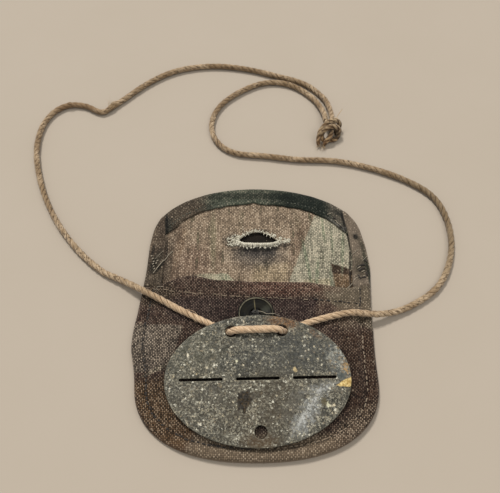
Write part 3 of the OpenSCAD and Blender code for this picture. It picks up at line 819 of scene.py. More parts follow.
def printed_cloth(name, pitch, ground, prints, blots, contrast, streaks, worn_edge, bled=None,
                  uneven_threads=2.2, calm=(), seam=None):
    """Cotton with a soft print in patches and blots, which are tables in millimetres and degrees.

    pitch is the distance between threads, contrast how much their crossings differ, streaks how
    much single warp threads do, worn_edge how much paler the cloth's own edge is, bled a colour
    along some threads, uneven_threads how far they wander, calm where the weave is hardly seen, and
    seam how far inside the rim a sewn row has gathered dirt.
    """
    material, tree, shader = finish_material(name, roughness=0.93, specular=0.15, sheen=0.08)
    place = put(tree, "TexCoord").outputs["Object"]
    ragged = shaken(tree, place, 420.0, 0.0016)
    pitch = pitch / 1000
    wandering = shaken(tree, place, 0.45 / pitch, uneven_threads * pitch, 2.0)
    threads = placed(tree, weave, Position=wandering, Pitch=pitch)
    colour = shade(*ground)
    for tint, softness, corners in prints:
        colour = mix(tree, patch_mask(tree, ragged, corners, softness), colour, shade(*tint))
    for tint, strength, *oval in blots:
        colour = mix(tree, times(tree, blot_mask(tree, place, *oval), strength), colour, shade(*tint))
    faded = patches(tree, place, 0.009, 0.3, 0.7, 0.82, 1.18, 4.0)
    streak = step_between(tree, threads["Streak"], 0.32, 0.68, 1 - 0.40 * streaks, 1 + 0.36 * streaks)
    if bled:
        along = step_between(tree, threads["Streak"], 0.43, 0.33, 0.0, 0.60 * streaks)
        colour = mix(tree, along, colour, shade(*bled))
    over = calc(tree, "MULTIPLY_ADD", threads["Over"], 0.60 * contrast, 1 - 0.30 * contrast)
    each = calc(tree, "MULTIPLY_ADD", threads["Crossing"], 0.80 * contrast, 1 - 0.40 * contrast)
    bright = step_between(tree, threads["Crossing"], 0.88, 0.97, 1.0, 1 + 0.40 * contrast)
    # Painted highlight on the thread tops and painted shade in the dips between them.
    painted_weave_shade = step_between(tree, threads["Height"], 0.15, 0.95, 1 - 0.60 * contrast, 1 + 0.36 * contrast)
    nubs = placed(tree, speckle, Position=place, Size=1.8 * pitch, Share=0.85)
    nub = times(tree, nubs["Mask"], calc(tree, "SUBTRACT", nubs["Tone"], 0.45))
    nub = calc(tree, "MULTIPLY_ADD", nub, 0.95 * contrast, 1.0)
    clump = patches(tree, place, 0.0019, 0.36, 0.64, 1 - 0.14 * contrast, 1 + 0.14 * contrast, 2.0)
    far = put(tree, "Attribute", attribute_name="rim_far").outputs["Fac"]
    rubbed = times(tree, step_between(tree, far, 0.0016, 0.0003),
                   patches(tree, place, 0.004, 0.35, 0.65, 0.2, 1.0))
    tone = times(tree, calc(tree, "MULTIPLY_ADD", rubbed, worn_edge, 1.0),
                 faded, streak, over, each, bright, painted_weave_shade, nub, clump)
    middle_tone, edge_tone, brightest = 0.90, 0.95, 1.25
    for oval in calm:
        even = calc(tree, "MULTIPLY_ADD", calc(tree, "SUBTRACT", tone, middle_tone), 0.48, middle_tone)
        tone = put(tree, "Mix", blot_mask(tree, place, *oval, 0.0, 0.8), None, tone, even).outputs[0]
    on_edge = step_between(tree, far, 0.00040, 0.00010, 0.0, 0.85)
    tone = put(tree, "Mix", on_edge, None, tone, edge_tone).outputs[0]
    if seam:
        up_side = step_between(tree, put(tree, "SeparateXYZ", place).outputs[1], 0.0, -0.0020)
        dirty = times(tree, step_between(tree, far, seam - 0.0010, seam - 0.0003),
                      step_between(tree, far, seam + 0.0010, seam + 0.0003), up_side,
                      patches(tree, place, 0.0030, 0.30, 0.62, 0.15, 0.42))
        tone = times(tree, tone, calc(tree, "SUBTRACT", 1.0, dirty))
    colour = toned(tree, colour, calc(tree, "MINIMUM", tone, brightest))
    own_light = put(tree, "RGBToBW", colour).outputs[0]
    worn = times(tree, step_between(tree, tone, 1.0, 2.4),
                 calc(tree, "MINIMUM", times(tree, own_light, 3.1), 0.58))
    colour = mix(tree, worn, colour, shade(190, 174, 152))
    lint = placed(tree, speckle, Position=place, Size=0.0013, Share=0.06)
    colour = mix(tree, times(tree, lint["Mask"], 0.45), colour, shade(172, 156, 134))
    give(tree, shader.inputs, Base_Color=colour)
    height = calc(tree, "MULTIPLY_ADD", threads["Crossing"], 0.25, threads["Height"])
    relief(tree, shader, height, depth=0.00012)
    return material


flap_inside = printed_cloth("flap inside", 0.78, (131, 114, 95), [
    # tint, softness of its edge, corners
    ((148, 131, 106), 1.8, [(0.2, 22.1), (15, 22.1), (13.9, 10), (-2, 10)]),
    ((154, 148, 128), 0.4, [(26.5, 45.4), (14.3, 12.7), (14, 8), (44, 8), (47, 34.5), (40, 48)]),
    ((160, 150, 124), 0.6, [(20.5, 13.5), (32, 14.2), (32, 8), (20.5, 8)]),
    ((60, 47, 36), 0.6, [(32, 22), (37.2, 20.1), (42, 18.4), (42, 15), (32.8, 16)]),
    ((103, 83, 62), 0.7, [(32.8, 16.5), (42, 16), (42, 7), (33.6, 7)]),
    ((156, 152, 128), 0.4, [(-26.7, 15.8), (-20.9, 16.6), (-11.2, 16.4), (-8.2, 12.7), (-16, 11),
                            (-23, 13)]),
], [
    # tint, strength, middle x and y, half size x and y, turn
    ((112, 91, 76), 0.7, -30, 20, 14, 10, 20),
    ((74, 70, 66), 0.75, 1, 25.2, 11.5, 5.6, 0),
    ((54, 52, 52), 0.6, 2, 26.8, 8.5, 2.8, 0),
    # painted shadow under the buttonhole's lower lip
    ((22, 20, 18), 0.9, 2, 28.2, 11.2, 1.3, 2),
    # painted shade under the frayed threads at the slit's left end
    ((36, 33, 30), 0.75, -9.8, 32.2, 4, 3, 0),
    # painted shade under the bar at the slit's right end
    ((26, 22, 20), 0.85, 12.8, 30, 3.4, 0.8, 4),
    # painted shade over the slit's upper lip
    ((54, 44, 36), 0.75, 3.5, 37.2, 3.4, 1, 0),
    ((84, 74, 62), 0.55, -9.5, 32.5, 3.2, 3.6, 0),
    ((112, 110, 84), 0.45, -18, 33, 1.3, 14, 2),
    ((92, 80, 62), 0.6, 19.5, 40, 1.4, 8, 14),
    ((100, 90, 70), 0.45, -6, 43, 1, 6, 0),
    ((150, 120, 86), 0.4, -33, 27, 1.8, 11, -12),
    ((118, 128, 100), 0.6, 30, 39, 0.6, 7, 3),
    ((112, 124, 98), 0.6, 22.2, 22, 0.7, 11, 8),
    ((100, 112, 88), 0.65, 26.2, 16, 0.7, 7, -6),
    ((106, 116, 92), 0.6, 37.8, 28, 0.7, 10, -5),
    ((104, 114, 90), 0.55, 33.5, 32, 0.5, 8, 0),
    ((96, 104, 84), 0.6, 32, 13, 0.6, 7, 2),
    ((92, 104, 80), 0.7, -12.5, 14, 1, 1.4, 0),
    ((100, 84, 70), 0.75, -34.5, 25, 3.8, 17, -4),
    # painted shade along the left hem's fold
    ((52, 43, 40), 0.8, -37.4, 21, 0.8, 6, 0),
    ((108, 88, 72), 0.5, 19, 33, 1.7, 12, -20),
    ((80, 69, 57), 0.8, -36.8, 20, 2, 14, -4),
    # painted shade along the inner edges of the side hems
    ((34, 29, 24), 0.9, 40.3, 19, 0.55, 11, -4),
    ((34, 29, 24), 0.9, 40.4, 36, 0.5, 10, 6),
    ((34, 29, 24), 0.85, -37.8, 29, 0.5, 6, 2),
], contrast=0.88, streaks=0.95, worn_edge=0.0, bled=(98, 98, 74), uneven_threads=1.8)
dress(back_panel, flap_inside)
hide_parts("pouch_back")


# Pocket front
# A second piece of the cloth, sewn to the back along both sides and the foot, where the edge is
# turned and thick. Its mouth is open, lifts a little and has its own hem.
front_rest, seam_inset, pocket_hollow = 0.0042, 0.0046, 0.0022
mouth_half = 0.0487
stitch_pitch, seam_deep, mouth_row_deep = 0.0031, 0.00022, 0.00030
button_low, button_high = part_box("button")
button_middle = (button_low + button_high) / 2
dip_middle, dip_wide, dip_tall = (button_middle.x, -0.00775), 0.0256, 0.0150
under_disc, under_disc_wide, under_disc_tall = (0.0010, -0.030), 0.036, 0.027
mouth_lift, mouth_lift_long = 0.0008, 0.0101
EDGE_SHARE = (0.00, 0.16, 0.36, 0.60, 0.84, 1.00)
EDGE_RISE = (0.00135, 0.00205, 0.00236, 0.00232, 0.00195, 0.00150)
BODY_SHARE = (1.00, 1.22, 1.60, 2.30, 3.00)
BODY_UPPER = (0.00, 0.22, 0.74, 0.94, 1.00)
BODY_LOWER = (0.00, 0.02, 0.62, 0.92, 1.00)
# The mouth of the pocket across the pouch, as places from left to right.
MOUTH_X = (-0.0487, -0.0419, -0.0263, -0.0146, 0.0, 0.0195, 0.0380, 0.0438, 0.0487)
MOUTH_Y = (0.0092, 0.0096, 0.0137, 0.0116, 0.0109, 0.0107, 0.0083, 0.0103, 0.0099)
# The row of stitches that holds its hem, which climbs to the mouth's corner on the left.
HEM_ROW_X = (-0.0487, -0.0402, -0.0317, -0.0198, -0.0058, 0.0081, 0.0220, 0.0385, 0.0487)
HEM_ROW_Y = (0.0076, 0.0080, 0.0066, 0.0057, 0.0043, 0.0038, 0.0031, 0.0019, 0.0017)
CREASE = np.array([(-0.0425, -0.0277), (-0.0381, -0.0258), (-0.0345, -0.0240)])
crease_high, crease_wide = 0.00035, 0.0010


def mouth(x):
    return eased(x, MOUTH_X, MOUTH_Y)


def hem_row(x):
    return eased(x, HEM_ROW_X, HEM_ROW_Y)


def press(x, y):
    """The dip under the cord and the button, and the lift towards the mouth."""
    r = np.hypot((x - dip_middle[0]) / dip_wide, (y - dip_middle[1]) / dip_tall)
    t = np.clip(1 - r, 0, 1)
    dip = 0.00035 * np.minimum(1, 4 * t * t * (3 - 2 * t))
    below = np.maximum(mouth(x) - y, 0)
    lift = mouth_lift * ramp(below, mouth_lift_long, 0.0) * (1 - (x / mouth_half) ** 4)
    return lift - dip


def stitch_pull(x, y):
    """How the seam and the hem pull the cloth down, stitch by stitch."""
    far, gone = rim_distance(x, y)

    def pull(off_row, half_wide, along):
        return np.exp(-(off_row / half_wide) ** 2) * (0.7 + 0.3 * np.cos(2 * np.pi * along / stitch_pitch))

    seam, hem = pull(far - seam_inset, 0.0008, gone), pull(y - hem_row(x), 0.0006, x)
    return seam_deep * seam + mouth_row_deep * hem * ramp(far, seam_inset, 0.0075)


def front_upper(x, y):
    share = rim_distance(x, y)[0] / seam_inset
    groove = EDGE_RISE[-1]
    edge = eased(share, EDGE_SHARE, EDGE_RISE)
    free = eased(share, BODY_SHARE, BODY_UPPER)
    body = groove + free * (front_rest - cloth_thick - groove + press(x, y))
    hem = 0.0003 * ramp(y - hem_row(x), -0.0003, 0.0005)
    from_disc = np.hypot((x - under_disc[0]) / under_disc_wide, (y - under_disc[1]) / under_disc_tall)
    calm = ramp(from_disc, 0.95, 1.15)
    folds = 0.00012 * waves(x, y, 0.010, 21) * (1 - free) + 0.00022 * calm * waves(x, 0.6 * y, 0.008, 22)
    crease_far, _ = reach(np.column_stack([x, y]), CREASE, closed=False)
    crease = crease_high * np.exp(-(crease_far / crease_wide) ** 2)
    return cloth_thick + np.where(share < 1, edge, body) + hem + folds + crease - stitch_pull(x, y)


def front_lower(x, y):
    share = rim_distance(x, y)[0] / seam_inset
    hollow = eased(share, BODY_SHARE, BODY_LOWER) * (pocket_hollow + press(x, y))
    return cloth_thick + 0.00002 + np.where(share < 1, 0, hollow)


def front_middle(x, y):
    share = rim_distance(x, y)[0] / seam_inset
    open_edge = ramp(share, 0.6, 1.3)
    return front_lower(x, y) + (0.00025 + open_edge * 0.0004)


def from_left_corner(loop):
    """A closed line round the pouch, started where it meets the mouth on the left."""
    off = np.where(loop[:, 0] < 0, np.abs(loop[:, 1] - mouth(loop[:, 0])), 1)
    return np.roll(loop, -int(np.argmin(off)), 0)


def pocket_rim():
    """Up one side of the pouch, across the mouth and down the other side."""
    round_foot = from_left_corner(rim)
    round_foot = round_foot[round_foot[:, 1] < mouth(round_foot[:, 0]) - 0.0003]
    ends = round_foot[0, 0], round_foot[-1, 0]
    across = np.arange(ends[1] - 0.0005, ends[0] + 0.0005, -0.0006)
    return np.vstack([round_foot, np.column_stack([across, mouth(across)])])


pocket_loop = pocket_rim()
pocket = thin_piece("pocket_front_cloth", [pocket_loop], front_upper, front_lower, front_middle,
                    step=0.0010, edge=0.0006)
pocket_cloth = printed_cloth("pocket cloth", 0.66, (74, 57, 48), [
    # tint, softness of its edge, corners
    ((96, 80, 66), 5, [(15, 16), (36, 16), (36, 2), (19, 3)]),
    ((103, 92, 76), 1, [(25.1, 10), (30, 15), (50, 15), (50, -9.9), (46, -9.9), (30.3, 1.7)]),
    ((99, 88, 77), 0.6, [(-50, -7.2), (-28.5, -7.8), (-33, -26.2), (-50, -27)]),
    ((92, 71, 50), 2.4, [(-50, -31), (-33, -29), (-21.5, -50), (-29, -60), (-50, -60)]),
    ((113, 98, 80), 2, [(-21.5, -48), (5, -49), (30, -48), (30, -62), (-28, -62)]),
    ((68, 50, 38), 2, [(33, -10), (50, -10), (50, -44), (34, -44)]),
    ((60, 46, 42), 1.4, [(-40, 4), (26, 4), (23, -6), (-33, -6)]),
], [
    # tint, strength, middle x and y, half size x and y, turn
    ((100, 70, 58), 0.7, 12, 7.8, 17, 3, 0),
    ((72, 64, 48), 0.5, -40, 5.5, 7, 4.5, 10),
    ((116, 100, 82), 0.45, 38, -4, 7, 5, 20),
    ((56, 42, 32), 0.5, -44, -48, 5, 12, 30),
    ((112, 96, 78), 0.6, 34, -49, 13, 4.5, 40),
    ((138, 127, 108), 0.75, -38, -26.2, 5, 0.7, 24),
    ((118, 108, 96), 0.45, -43, -13, 4, 5, 0),
    # painted shadow under the disc, seen through its holes and slots
    ((26, 21, 18), 0.95, 0.9, -30.3, 31, 20.5, 0),
], contrast=1.62, streaks=0.3, worn_edge=0.2, uneven_threads=1.0,
    calm=[(40.5, 4, 13, 8.5), (2, -56, 42, 6.2)], seam=seam_inset)
dress(pocket, pocket_cloth)
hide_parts("pocket_front")


# Hem of the flap
# The flap's edge, turned over and sewn down: a wide hem round the tip, and a straight narrow hem
# up each side that laps over the ends of the wide one.
tip_hem_wide = 0.0082
tip_row_inset = 0.0020
LEFT_FOLD = [(-0.0386, 0.0105), (-0.0384, 0.0200), (-0.0383, 0.0300), (-0.0393, 0.0426),
             (-0.0397, 0.0475)]
RIGHT_FOLD = [(0.0405, 0.0105), (0.0409, 0.0170), (0.0415, 0.0255), (0.0407, 0.0355), (0.0394, 0.0433),
              (0.0389, 0.0480)]
hem_low, hem_high = cloth_thick + 0.00003, 2 * cloth_thick
hem_tuck = 0.0012


def fold_x(y, fold):
    return np.interp(y, [p[1] for p in fold], [p[0] for p in fold])


def side_hem_rim(side, fold):
    """From the mouth up the pouch's side to the point where the fold meets the rim, and back."""
    outside = rim[(rim[:, 0] * side > 0) & (rim[:, 1] > mouth(rim[:, 0]) - hem_tuck)]
    outside = outside[(outside[:, 0] - fold_x(outside[:, 1], fold)) * side > 0.0003]
    outside = outside[np.argsort(outside[:, 1])]
    back = np.array([(fold_x(y, fold), y) for y in np.arange(outside[-1, 1], outside[0, 1], -0.0008)])
    back[:, 0] += side * 0.0002 * uneven(np.column_stack([back, 0 * back[:, 0]]), 0.003, 11)
    start = back[-1:] * (1, 0) + (0, float(mouth(back[-1, 0]) - hem_tuck))
    return np.vstack([outside, back[back[:, 1] > start[0, 1] + 0.0004], start])


def tip_hem_rim():
    """The band round the tip, with both ends under the side hems."""
    outside = rim[rim[:, 1] > 0.030]
    outside = outside[(outside[:, 0] > -0.0410) & (outside[:, 0] < 0.0405) | (outside[:, 1] > 0.0460)]
    outside = outside[np.argsort(-outside[:, 0])]
    places = np.column_stack([outside, 0 * outside[:, 0]])
    wide = tip_hem_wide + 0.0003 * uneven(places, 0.006, 12) + 0.00028 * uneven(places, 0.0024, 14)
    wide -= 0.0008 * np.exp(-((outside[:, 0] + 0.0005) / 0.0014) ** 2)
    inner = outside + wide[:, None] * left_of(np.gradient(outside, axis=0))
    left_end, right_end = (-0.0405, 0.0337), (0.0415, 0.0345)
    inner = inner[(inner[:, 0] > left_end[0]) & (inner[:, 0] < right_end[0])]
    return spaced(np.vstack([outside, [(-0.0412, 0.0425)], [left_end], inner[::-1], [right_end],
                             [(0.0412, 0.0425)]]), 0.0008, closed=True)


def hem_faces(lap):
    """Upper, lower and middle heights of a hem, which wraps the flap's rim. lap lifts it."""
    def upper(x, y):
        far, _ = rim_distance(x, y)
        puff = 0.00022 * np.sin(np.pi * np.clip(far / tip_hem_wide, 0, 1))
        puff = puff + 0.00012 * waves(x, y, 0.004, 13)
        sewn_down = np.exp(-((far - tip_hem_wide + tip_row_inset) / 0.0005) ** 2) * ramp(y, 0.034, 0.036)
        plain = hem_high + puff - 0.00025 * sewn_down + 0.00045 * lap(x, y)
        corner = front_upper(x, mouth(x) - 0.0009) - 0.00008
        return plain + (np.maximum(corner, plain) - plain) * ramp(y - mouth(x), 0.0050, 0.0)

    def lower(x, y):
        far, _ = rim_distance(x, y)
        return np.where(far < hem_wrap, 0.00003, hem_low + 0.00105 * lap(x, y))

    def middle(x, y):
        far, _ = rim_distance(x, y)
        return np.where(far < 0.5 * hem_wrap, cloth_thick, 0.5 * (upper(x, y) + lower(x, y)))

    return upper, lower, middle


def over_tip_hem(side, fold):
    """1 where a side hem lies over the end of the wide hem."""
    return lambda x, y: ramp(side * (x - fold_x(y, fold)), 0.0034, 0.0020) * ramp(y, 0.0325, 0.0345)


tip_faces = hem_faces(lambda x, y: 0 * x)
tip_hem = thin_piece("flap_tip_hem", [tip_hem_rim()], *tip_faces, step=0.0009, edge=0.0005)
left_hem, right_hem = (
    thin_piece(name, [side_hem_rim(side, fold)], *hem_faces(over_tip_hem(side, fold)),
               step=0.0009, edge=0.0005)
    for name, side, fold in (("flap_left_hem", -1, LEFT_FOLD), ("flap_right_hem", 1, RIGHT_FOLD)))
hem_print = printed_cloth("flap hem", 0.78, (47, 51, 42), [
    # tint, softness of its edge, corners
    ((25, 32, 26), 5, [(4, 62), (9, 44), (31, 40), (35, 56)]),
    ((70, 61, 50), 4.5, [(-50, 60), (-22.5, 58), (-19, 30), (-50, 30)]),
    ((82, 76, 66), 3.2, [(32.5, 60), (34.5, 38), (50, 38), (50, 60)]),
    # painted shadow at the fold of the left hem
    ((44, 42, 35), 1.4, [(-39.5, 44), (-36.5, 44), (-34.5, 30), (-39.5, 30)]),
], [
    # tint, strength, middle x and y, half size x and y, turn
    ((30, 32, 27), 0.85, 37.2, 46.2, 3, 1.6, -40),
    ((100, 98, 92), 0.6, 37.5, 38.8, 3, 1.2, -48),
    ((100, 98, 92), 0.45, 33.5, 42.5, 3, 1, -40),
    ((92, 96, 84), 0.5, -15, 50, 8, 1, 14),
    ((80, 86, 72), 0.55, -6, 52, 16, 1.8, 0),
    ((84, 88, 74), 0.45, 0, 58, 20, 1.2, 0),
    ((28, 34, 28), 0.6, 29, 46, 6, 2.2, -35),
    # painted shade along the edges of the side hems that lie over this hem
    ((18, 18, 15), 0.95, -38.4, 40, 0.55, 6.5, 4),
    ((22, 21, 18), 0.9, 39, 42, 0.55, 5, 8),
], contrast=0.85, streaks=0.3, worn_edge=0.25, calm=[(37.2, 40.5, 4.5, 4)])
side_print = printed_cloth("flap side hems", 0.76, (71, 60, 49), [
    # tint, softness of its edge, corners
    ((110, 98, 84), 2, [(36, 50), (36, 6), (50, 6), (50, 50)]),
    ((74, 64, 52), 1.6, [(-50, 20), (-37, 27), (-37, 6), (-50, 6)]),
], [
    # tint, strength, middle x and y, half size x and y, turn
    ((24, 24, 20), 0.95, 43.7, 33.9, 1.1, 1.6, 20),
    ((66, 61, 49), 0.6, 44.2, 20, 2.8, 4.6, 20),
    ((46, 48, 36), 0.75, 47.2, 19, 0.9, 11, 6),
    ((58, 54, 42), 0.5, 46, 30, 0.9, 6, 16),
    ((40, 37, 30), 0.65, -41.2, 22.5, 1.6, 5.5, -14),
    ((102, 88, 72), 0.4, -43.5, 33, 1.8, 6, -10),
    ((30, 34, 27), 0.85, 47.8, 15, 0.7, 7, 4),
    ((62, 56, 46), 0.4, 45, 16.5, 3, 4, 0),
    # painted shadow of the long loose thread
    ((26, 24, 20), 0.9, -39.1, 20.3, 0.5, 4.8, -31),
    ((34, 31, 25), 0.8, -42.8, 20.5, 0.9, 4.5, -14),
    ((24, 22, 18), 0.8, -43.4, 26.8, 0.6, 3, -8),
], contrast=0.85, streaks=0.3, worn_edge=0.2, calm=[(44, 33, 5, 15), (44.5, 13, 5, 6)])
dress(tip_hem, hem_print)
dress(left_hem, side_print)
dress(right_hem, side_print)


# Seams and hem stitches
# Thread sewn by hand: a row round the pocket just inside its turned edge, soiled dark on the left,
# a longer stitch along the mouth's hem, and small ones round the tip. Each end dips into the cloth.
def sewn(line, surface, seed, long, gap, thin, dropped, lift):
    """A row of running stitches along a line on the cloth, some of them dropped."""
    draw = np.random.default_rng(seed)
    line = spaced(line, 0.0002)
    stitches, at = [], 0.0
    total = length_of(line)
    gone = np.linspace(0, total, len(line))
    while at + long < total:
        this = long * draw.uniform(0.75, 1.15)
        if draw.random() > dropped:
            s = at + this * np.array([0, 0.12, 0.35, 0.65, 0.88, 1.0])
            x, y = (np.interp(s, gone, line[:, k]) for k in (0, 1))
            wander = draw.normal(scale=0.00012, size=2)
            x, y = x + wander[0], y + wander[1]
            bow = np.array([-0.00022, 0.00003, 0.00012, 0.00012, 0.00003, -0.00022])
            z = surface(x, y) + lift + bow
            stitches.append(tube(np.column_stack([x, y, z]), thin * draw.uniform(0.8, 1.2)))
        at += this + gap * draw.uniform(0.6, 1.5)
    return stitches


def seam_line():
    """The row round the pocket, seam_inset inside the rim, from the left of the mouth."""
    row = from_left_corner(rim + seam_inset * left_of(around(rim)))
    return row[(row[:, 1] < mouth(row[:, 0]) - 0.001) & within(row, pocket_loop)]


def tip_hem_line():
    """The row round the tip, a little outside the hem's inner edge."""
    row = rim + (tip_hem_wide - tip_row_inset) * left_of(around(rim))
    row = row[(row[:, 0] > -0.0370) & (row[:, 0] < 0.0385) & (row[:, 1] > 0.036)]
    return row[np.argsort(row[:, 0])]


def thread_material(name, light, dark, dirt=0.6):
    """Sewing thread, with fine twisted fibres."""
    material, tree, shader = finish_material(name, roughness=0.85, specular=0.25, sheen=0.3)
    lay = put(tree, "Attribute", attribute_name="lay").outputs["Vector"]
    place = put(tree, "TexCoord").outputs["Object"]
    grain = placed(tree, fibre_grain, Lay=lay, Fineness=26000.0)
    colour = mix(tree, step_between(tree, grain["Streak"], 0.35, 0.65), dark, light)
    soiled = step_between(tree, cloudy(tree, place, 0.0016), 0.42, 0.62, 0.0, dirt)
    colour = mix(tree, soiled, colour, dark)
    give(tree, shader.inputs, Base_Color=colour)
    relief(tree, shader, grain["Streak"], depth=0.00008)
    return material


hem_thread = thread_material("hem thread", shade(112, 114, 98), shade(52, 56, 46), 0.7)
seam_thread = thread_material("seam thread", shade(166, 148, 124), shade(104, 89, 73))
soiled_thread = thread_material("soiled seam thread", shade(56, 46, 36), shade(20, 16, 12))

hem_x = np.arange(-0.0405, 0.0425, 0.0005)
hem_line = np.column_stack([hem_x, hem_row(hem_x)])
soiled_end = int(0.78 * len(hem_line))
row_round = seam_line()
left_row, right_row = np.split(row_round, [len(row_round) // 2])
long_row, corner_row = right_row[right_row[:, 1] < -0.0036], right_row[right_row[:, 1] > -0.0030]
# Name, line, cloth, seed, length, gap, half thickness, share dropped, lift, thread, slot
for name, line, surface, *sizes, thread, slot in (
        ("seam_stitches_left", left_row, front_upper, 51, 0.0010, 0.0011, 0.00034, 0.08, 0.00018,
         soiled_thread, "pocket_cloth"),
        ("seam_stitches_right", long_row, front_upper, 52, 0.0013, 0.0009, 0.00025, 0.08, 0.00014,
         seam_thread, "pocket_cloth"),
        ("seam_stitches_corner", corner_row, front_upper, 56, 0.0009, 0.0008, 0.00032, 0.0, 0.00022,
         soiled_thread, "pocket_cloth"),
        ("mouth_hem_stitches", hem_line[:soiled_end], front_upper, 53, 0.0022, 0.0009, 0.00016, 0.10, 0.00008,
         seam_thread, "pocket_cloth"),
        ("mouth_hem_soiled_stitches", hem_line[soiled_end:], front_upper, 54, 0.0013, 0.0012, 0.00026, 0.05,
         0.00015, soiled_thread, "pocket_cloth"),
        ("tip_hem_stitches", tip_hem_line(), tip_faces[0], 55, 0.0006, 0.0009, 0.00021, 0.15, 0.00006,
         hem_thread, "pouch_cloth")):
    dress(bundle(name, sewn(line, surface, *sizes)), thread)


# Buttonhole
# Worked by hand in pale grey thread: close stitches laid over a soft cord along the lower lip,
# thinner and rubbed ones along the upper, a frayed patch at the left end and a bar at the right.
def slit_edge(count):
    """Places round the slit with the outward direction, starting at its right end."""
    edge = spaced(slit_rim(count=400), 0.0001, closed=True)
    outward = -left_of(around(edge, 5))
    at = (np.arange(count) * len(edge) / count).astype(int)
    return edge[at], outward[at]


def flap_top(x, y):
    return cloth_thick + flap_rise(x, y)


def strand(x, y, z, thin, sides=6):
    """A thread through the places x, y, z."""
    return tube(np.column_stack([x, y, z]), thin, sides)


def hoop(px, py, out, start, end, rise, thin, draw):
    """One stitch: out of the slit, over its edge and down into the cloth."""
    s = np.array([-1.0, -0.8, -0.35, 0.2, 0.7, 1.0])
    s = (start + end) / 2 + s * (end - start) / 2
    x, y = px + out[0] * s, py + out[1] * s
    lift = rise * np.array([-0.6, 0.25, 0.95, 1.0, 0.45, -0.15]) + draw.normal(scale=0.00004)
    return tube(flowing(np.column_stack([x, y, flap_top(x, y) + lift]), 0.00022), thin)


def worked_edge():
    """Stitches over both lips, short ends at both tips, loops above and frayed fibres."""
    draw = np.random.default_rng(61)
    threads = []
    around_slit = 190
    places, outward = slit_edge(around_slit)
    for (px, py), (ox, oy) in zip(places, outward):

        def leaning(spread):
            lean = draw.normal(scale=spread)
            return np.array([ox - lean * oy, oy + lean * ox])

        lower = oy < -0.3
        rubbed_away, slant, stub_share, start = (
            (0.02, 0.10, 0.20, -0.0002) if lower else (0.52, 0.35, 0.30, 0.0001))
        if draw.random() < rubbed_away:
            continue
        out = leaning(slant)
        wide = draw.uniform(0.0014, 0.0018) if lower else draw.uniform(0.0004, 0.0009)
        rise = 0.00105 if lower else draw.uniform(0.0003, 0.0005)
        threads.append(hoop(px, py, out, start, wide, rise, 0.00017 * draw.uniform(0.85, 1.2), draw))
        if draw.random() < stub_share:
            stub = wide + draw.uniform(0.0, 0.0004)
            out = leaning(0.7)
            threads.append(hoop(px, py, out, stub, stub + draw.uniform(0.0003, 0.0005), 0.00050,
                                0.00025 * draw.uniform(0.8, 1.2), draw))
    left, right = slit_middle.x - slit_long / 2, slit_middle.x + slit_long / 2

    def scattered(count, x_range, y_middle, y_half, long, thin, rise):
        for _ in range(count):
            x0 = draw.uniform(*x_range)
            part = (x0 - x_range[0]) / (x_range[1] - x_range[0])
            y0 = y_middle + y_half(part) * draw.uniform(-1, 1)
            turn = draw.uniform(0, np.pi)
            s = np.linspace(-1, 1, 6) * long * draw.uniform(0.6, 1.1)
            bow = draw.normal(scale=0.3) * (s ** 2) / long
            x, y = x0 + s * np.cos(turn) - bow * np.sin(turn), y0 + s * np.sin(turn) + bow * np.cos(turn)
            z = flap_top(x, y) + rise * draw.uniform(0.5, 1.3) * (1 - (np.linspace(-1, 1, 6)) ** 2) - 0.00005
            threads.append(strand(x, y, z, thin * draw.uniform(0.8, 1.2), 5))

    scattered(74, (left - 0.0048, left + 0.0010), slit_middle.y + 0.0001,
              lambda t: 0.0027 * math.sqrt(max(0.05, 1 - (1.15 * t - 0.55) ** 2)), 0.00040, 0.00022, 0.00080)
    scattered(40, (right + 0.0002, right + 0.0052), slit_middle.y + 0.0002, lambda t: 0.0018 * (1 - 0.60 * t),
              0.00050, 0.00019, 0.00055)
    for offset in (-0.0004, 0.0003):
        x = np.linspace(right - 0.0002, right + 0.0036 - abs(offset), 14)
        y = slit_middle.y - 0.0003 + offset * np.linspace(1.4, 0.5, 14) + 0.00006 * np.sin(900 * x)
        threads.append(strand(x, y, flap_top(x, y) + 0.00028 + 0.0001 * np.sin(1500 * x), 0.00017))
    for x0, y0, wide in ((0.0047, 0.0356, 0.0007), (0.0060, 0.0349, 0.0008), (0.0074, 0.0341, 0.0006),
                         (-0.0046, 0.0348, 0.0006), (-0.0030, 0.0354, 0.0005)):
        turn = np.linspace(-0.4, np.pi + 0.5, 9)
        x, y = x0 + wide * np.cos(turn), y0 - 0.0004 + 0.7 * wide * np.sin(turn)
        z = flap_top(x0, y0) + 0.0001 + 0.0003 * np.sin(turn)
        threads.append(strand(x, y, z, 0.00015))
    for _ in range(34):
        i = int(draw.integers(0, around_slit))
        (px, py), (ox, oy) = places[i], outward[i]
        t = np.linspace(0, 1, 5)
        long = draw.uniform(0.0006, 0.0018)
        x = px + long * t * (ox + draw.normal(scale=0.6))
        y = py + long * t * (oy + draw.normal(scale=0.6))
        z = flap_top(x, y) + 0.0005 + 0.0008 * np.sin(np.pi * t * draw.uniform(0.4, 1.0))
        threads.append(strand(x, y, z, 0.00005, 4))
    return threads


buttonhole = bundle("buttonhole_worked_edge", worked_edge())
pale_thread = thread_material("buttonhole thread", shade(250, 246, 228), shade(150, 142, 120), 0.45)
dress(buttonhole, pale_thread)
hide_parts("buttonhole_stitching")


# Facing behind the buttonhole
# The flap's outer layer, coloured near black as painted shade, so that the slit shows dark. Its
# own cut has closed to a narrow gap.
def ring(x, y, half_x, half_y, count):
    """Points round an oval."""
    angle = np.linspace(0, 2 * np.pi, count, endpoint=False)
    return np.column_stack([x + half_x * np.cos(angle), y + half_y * np.sin(angle)])


facing_rim = ring(slit_middle.x, slit_middle.y + 0.0006, 0.0108, 0.0047, 60)


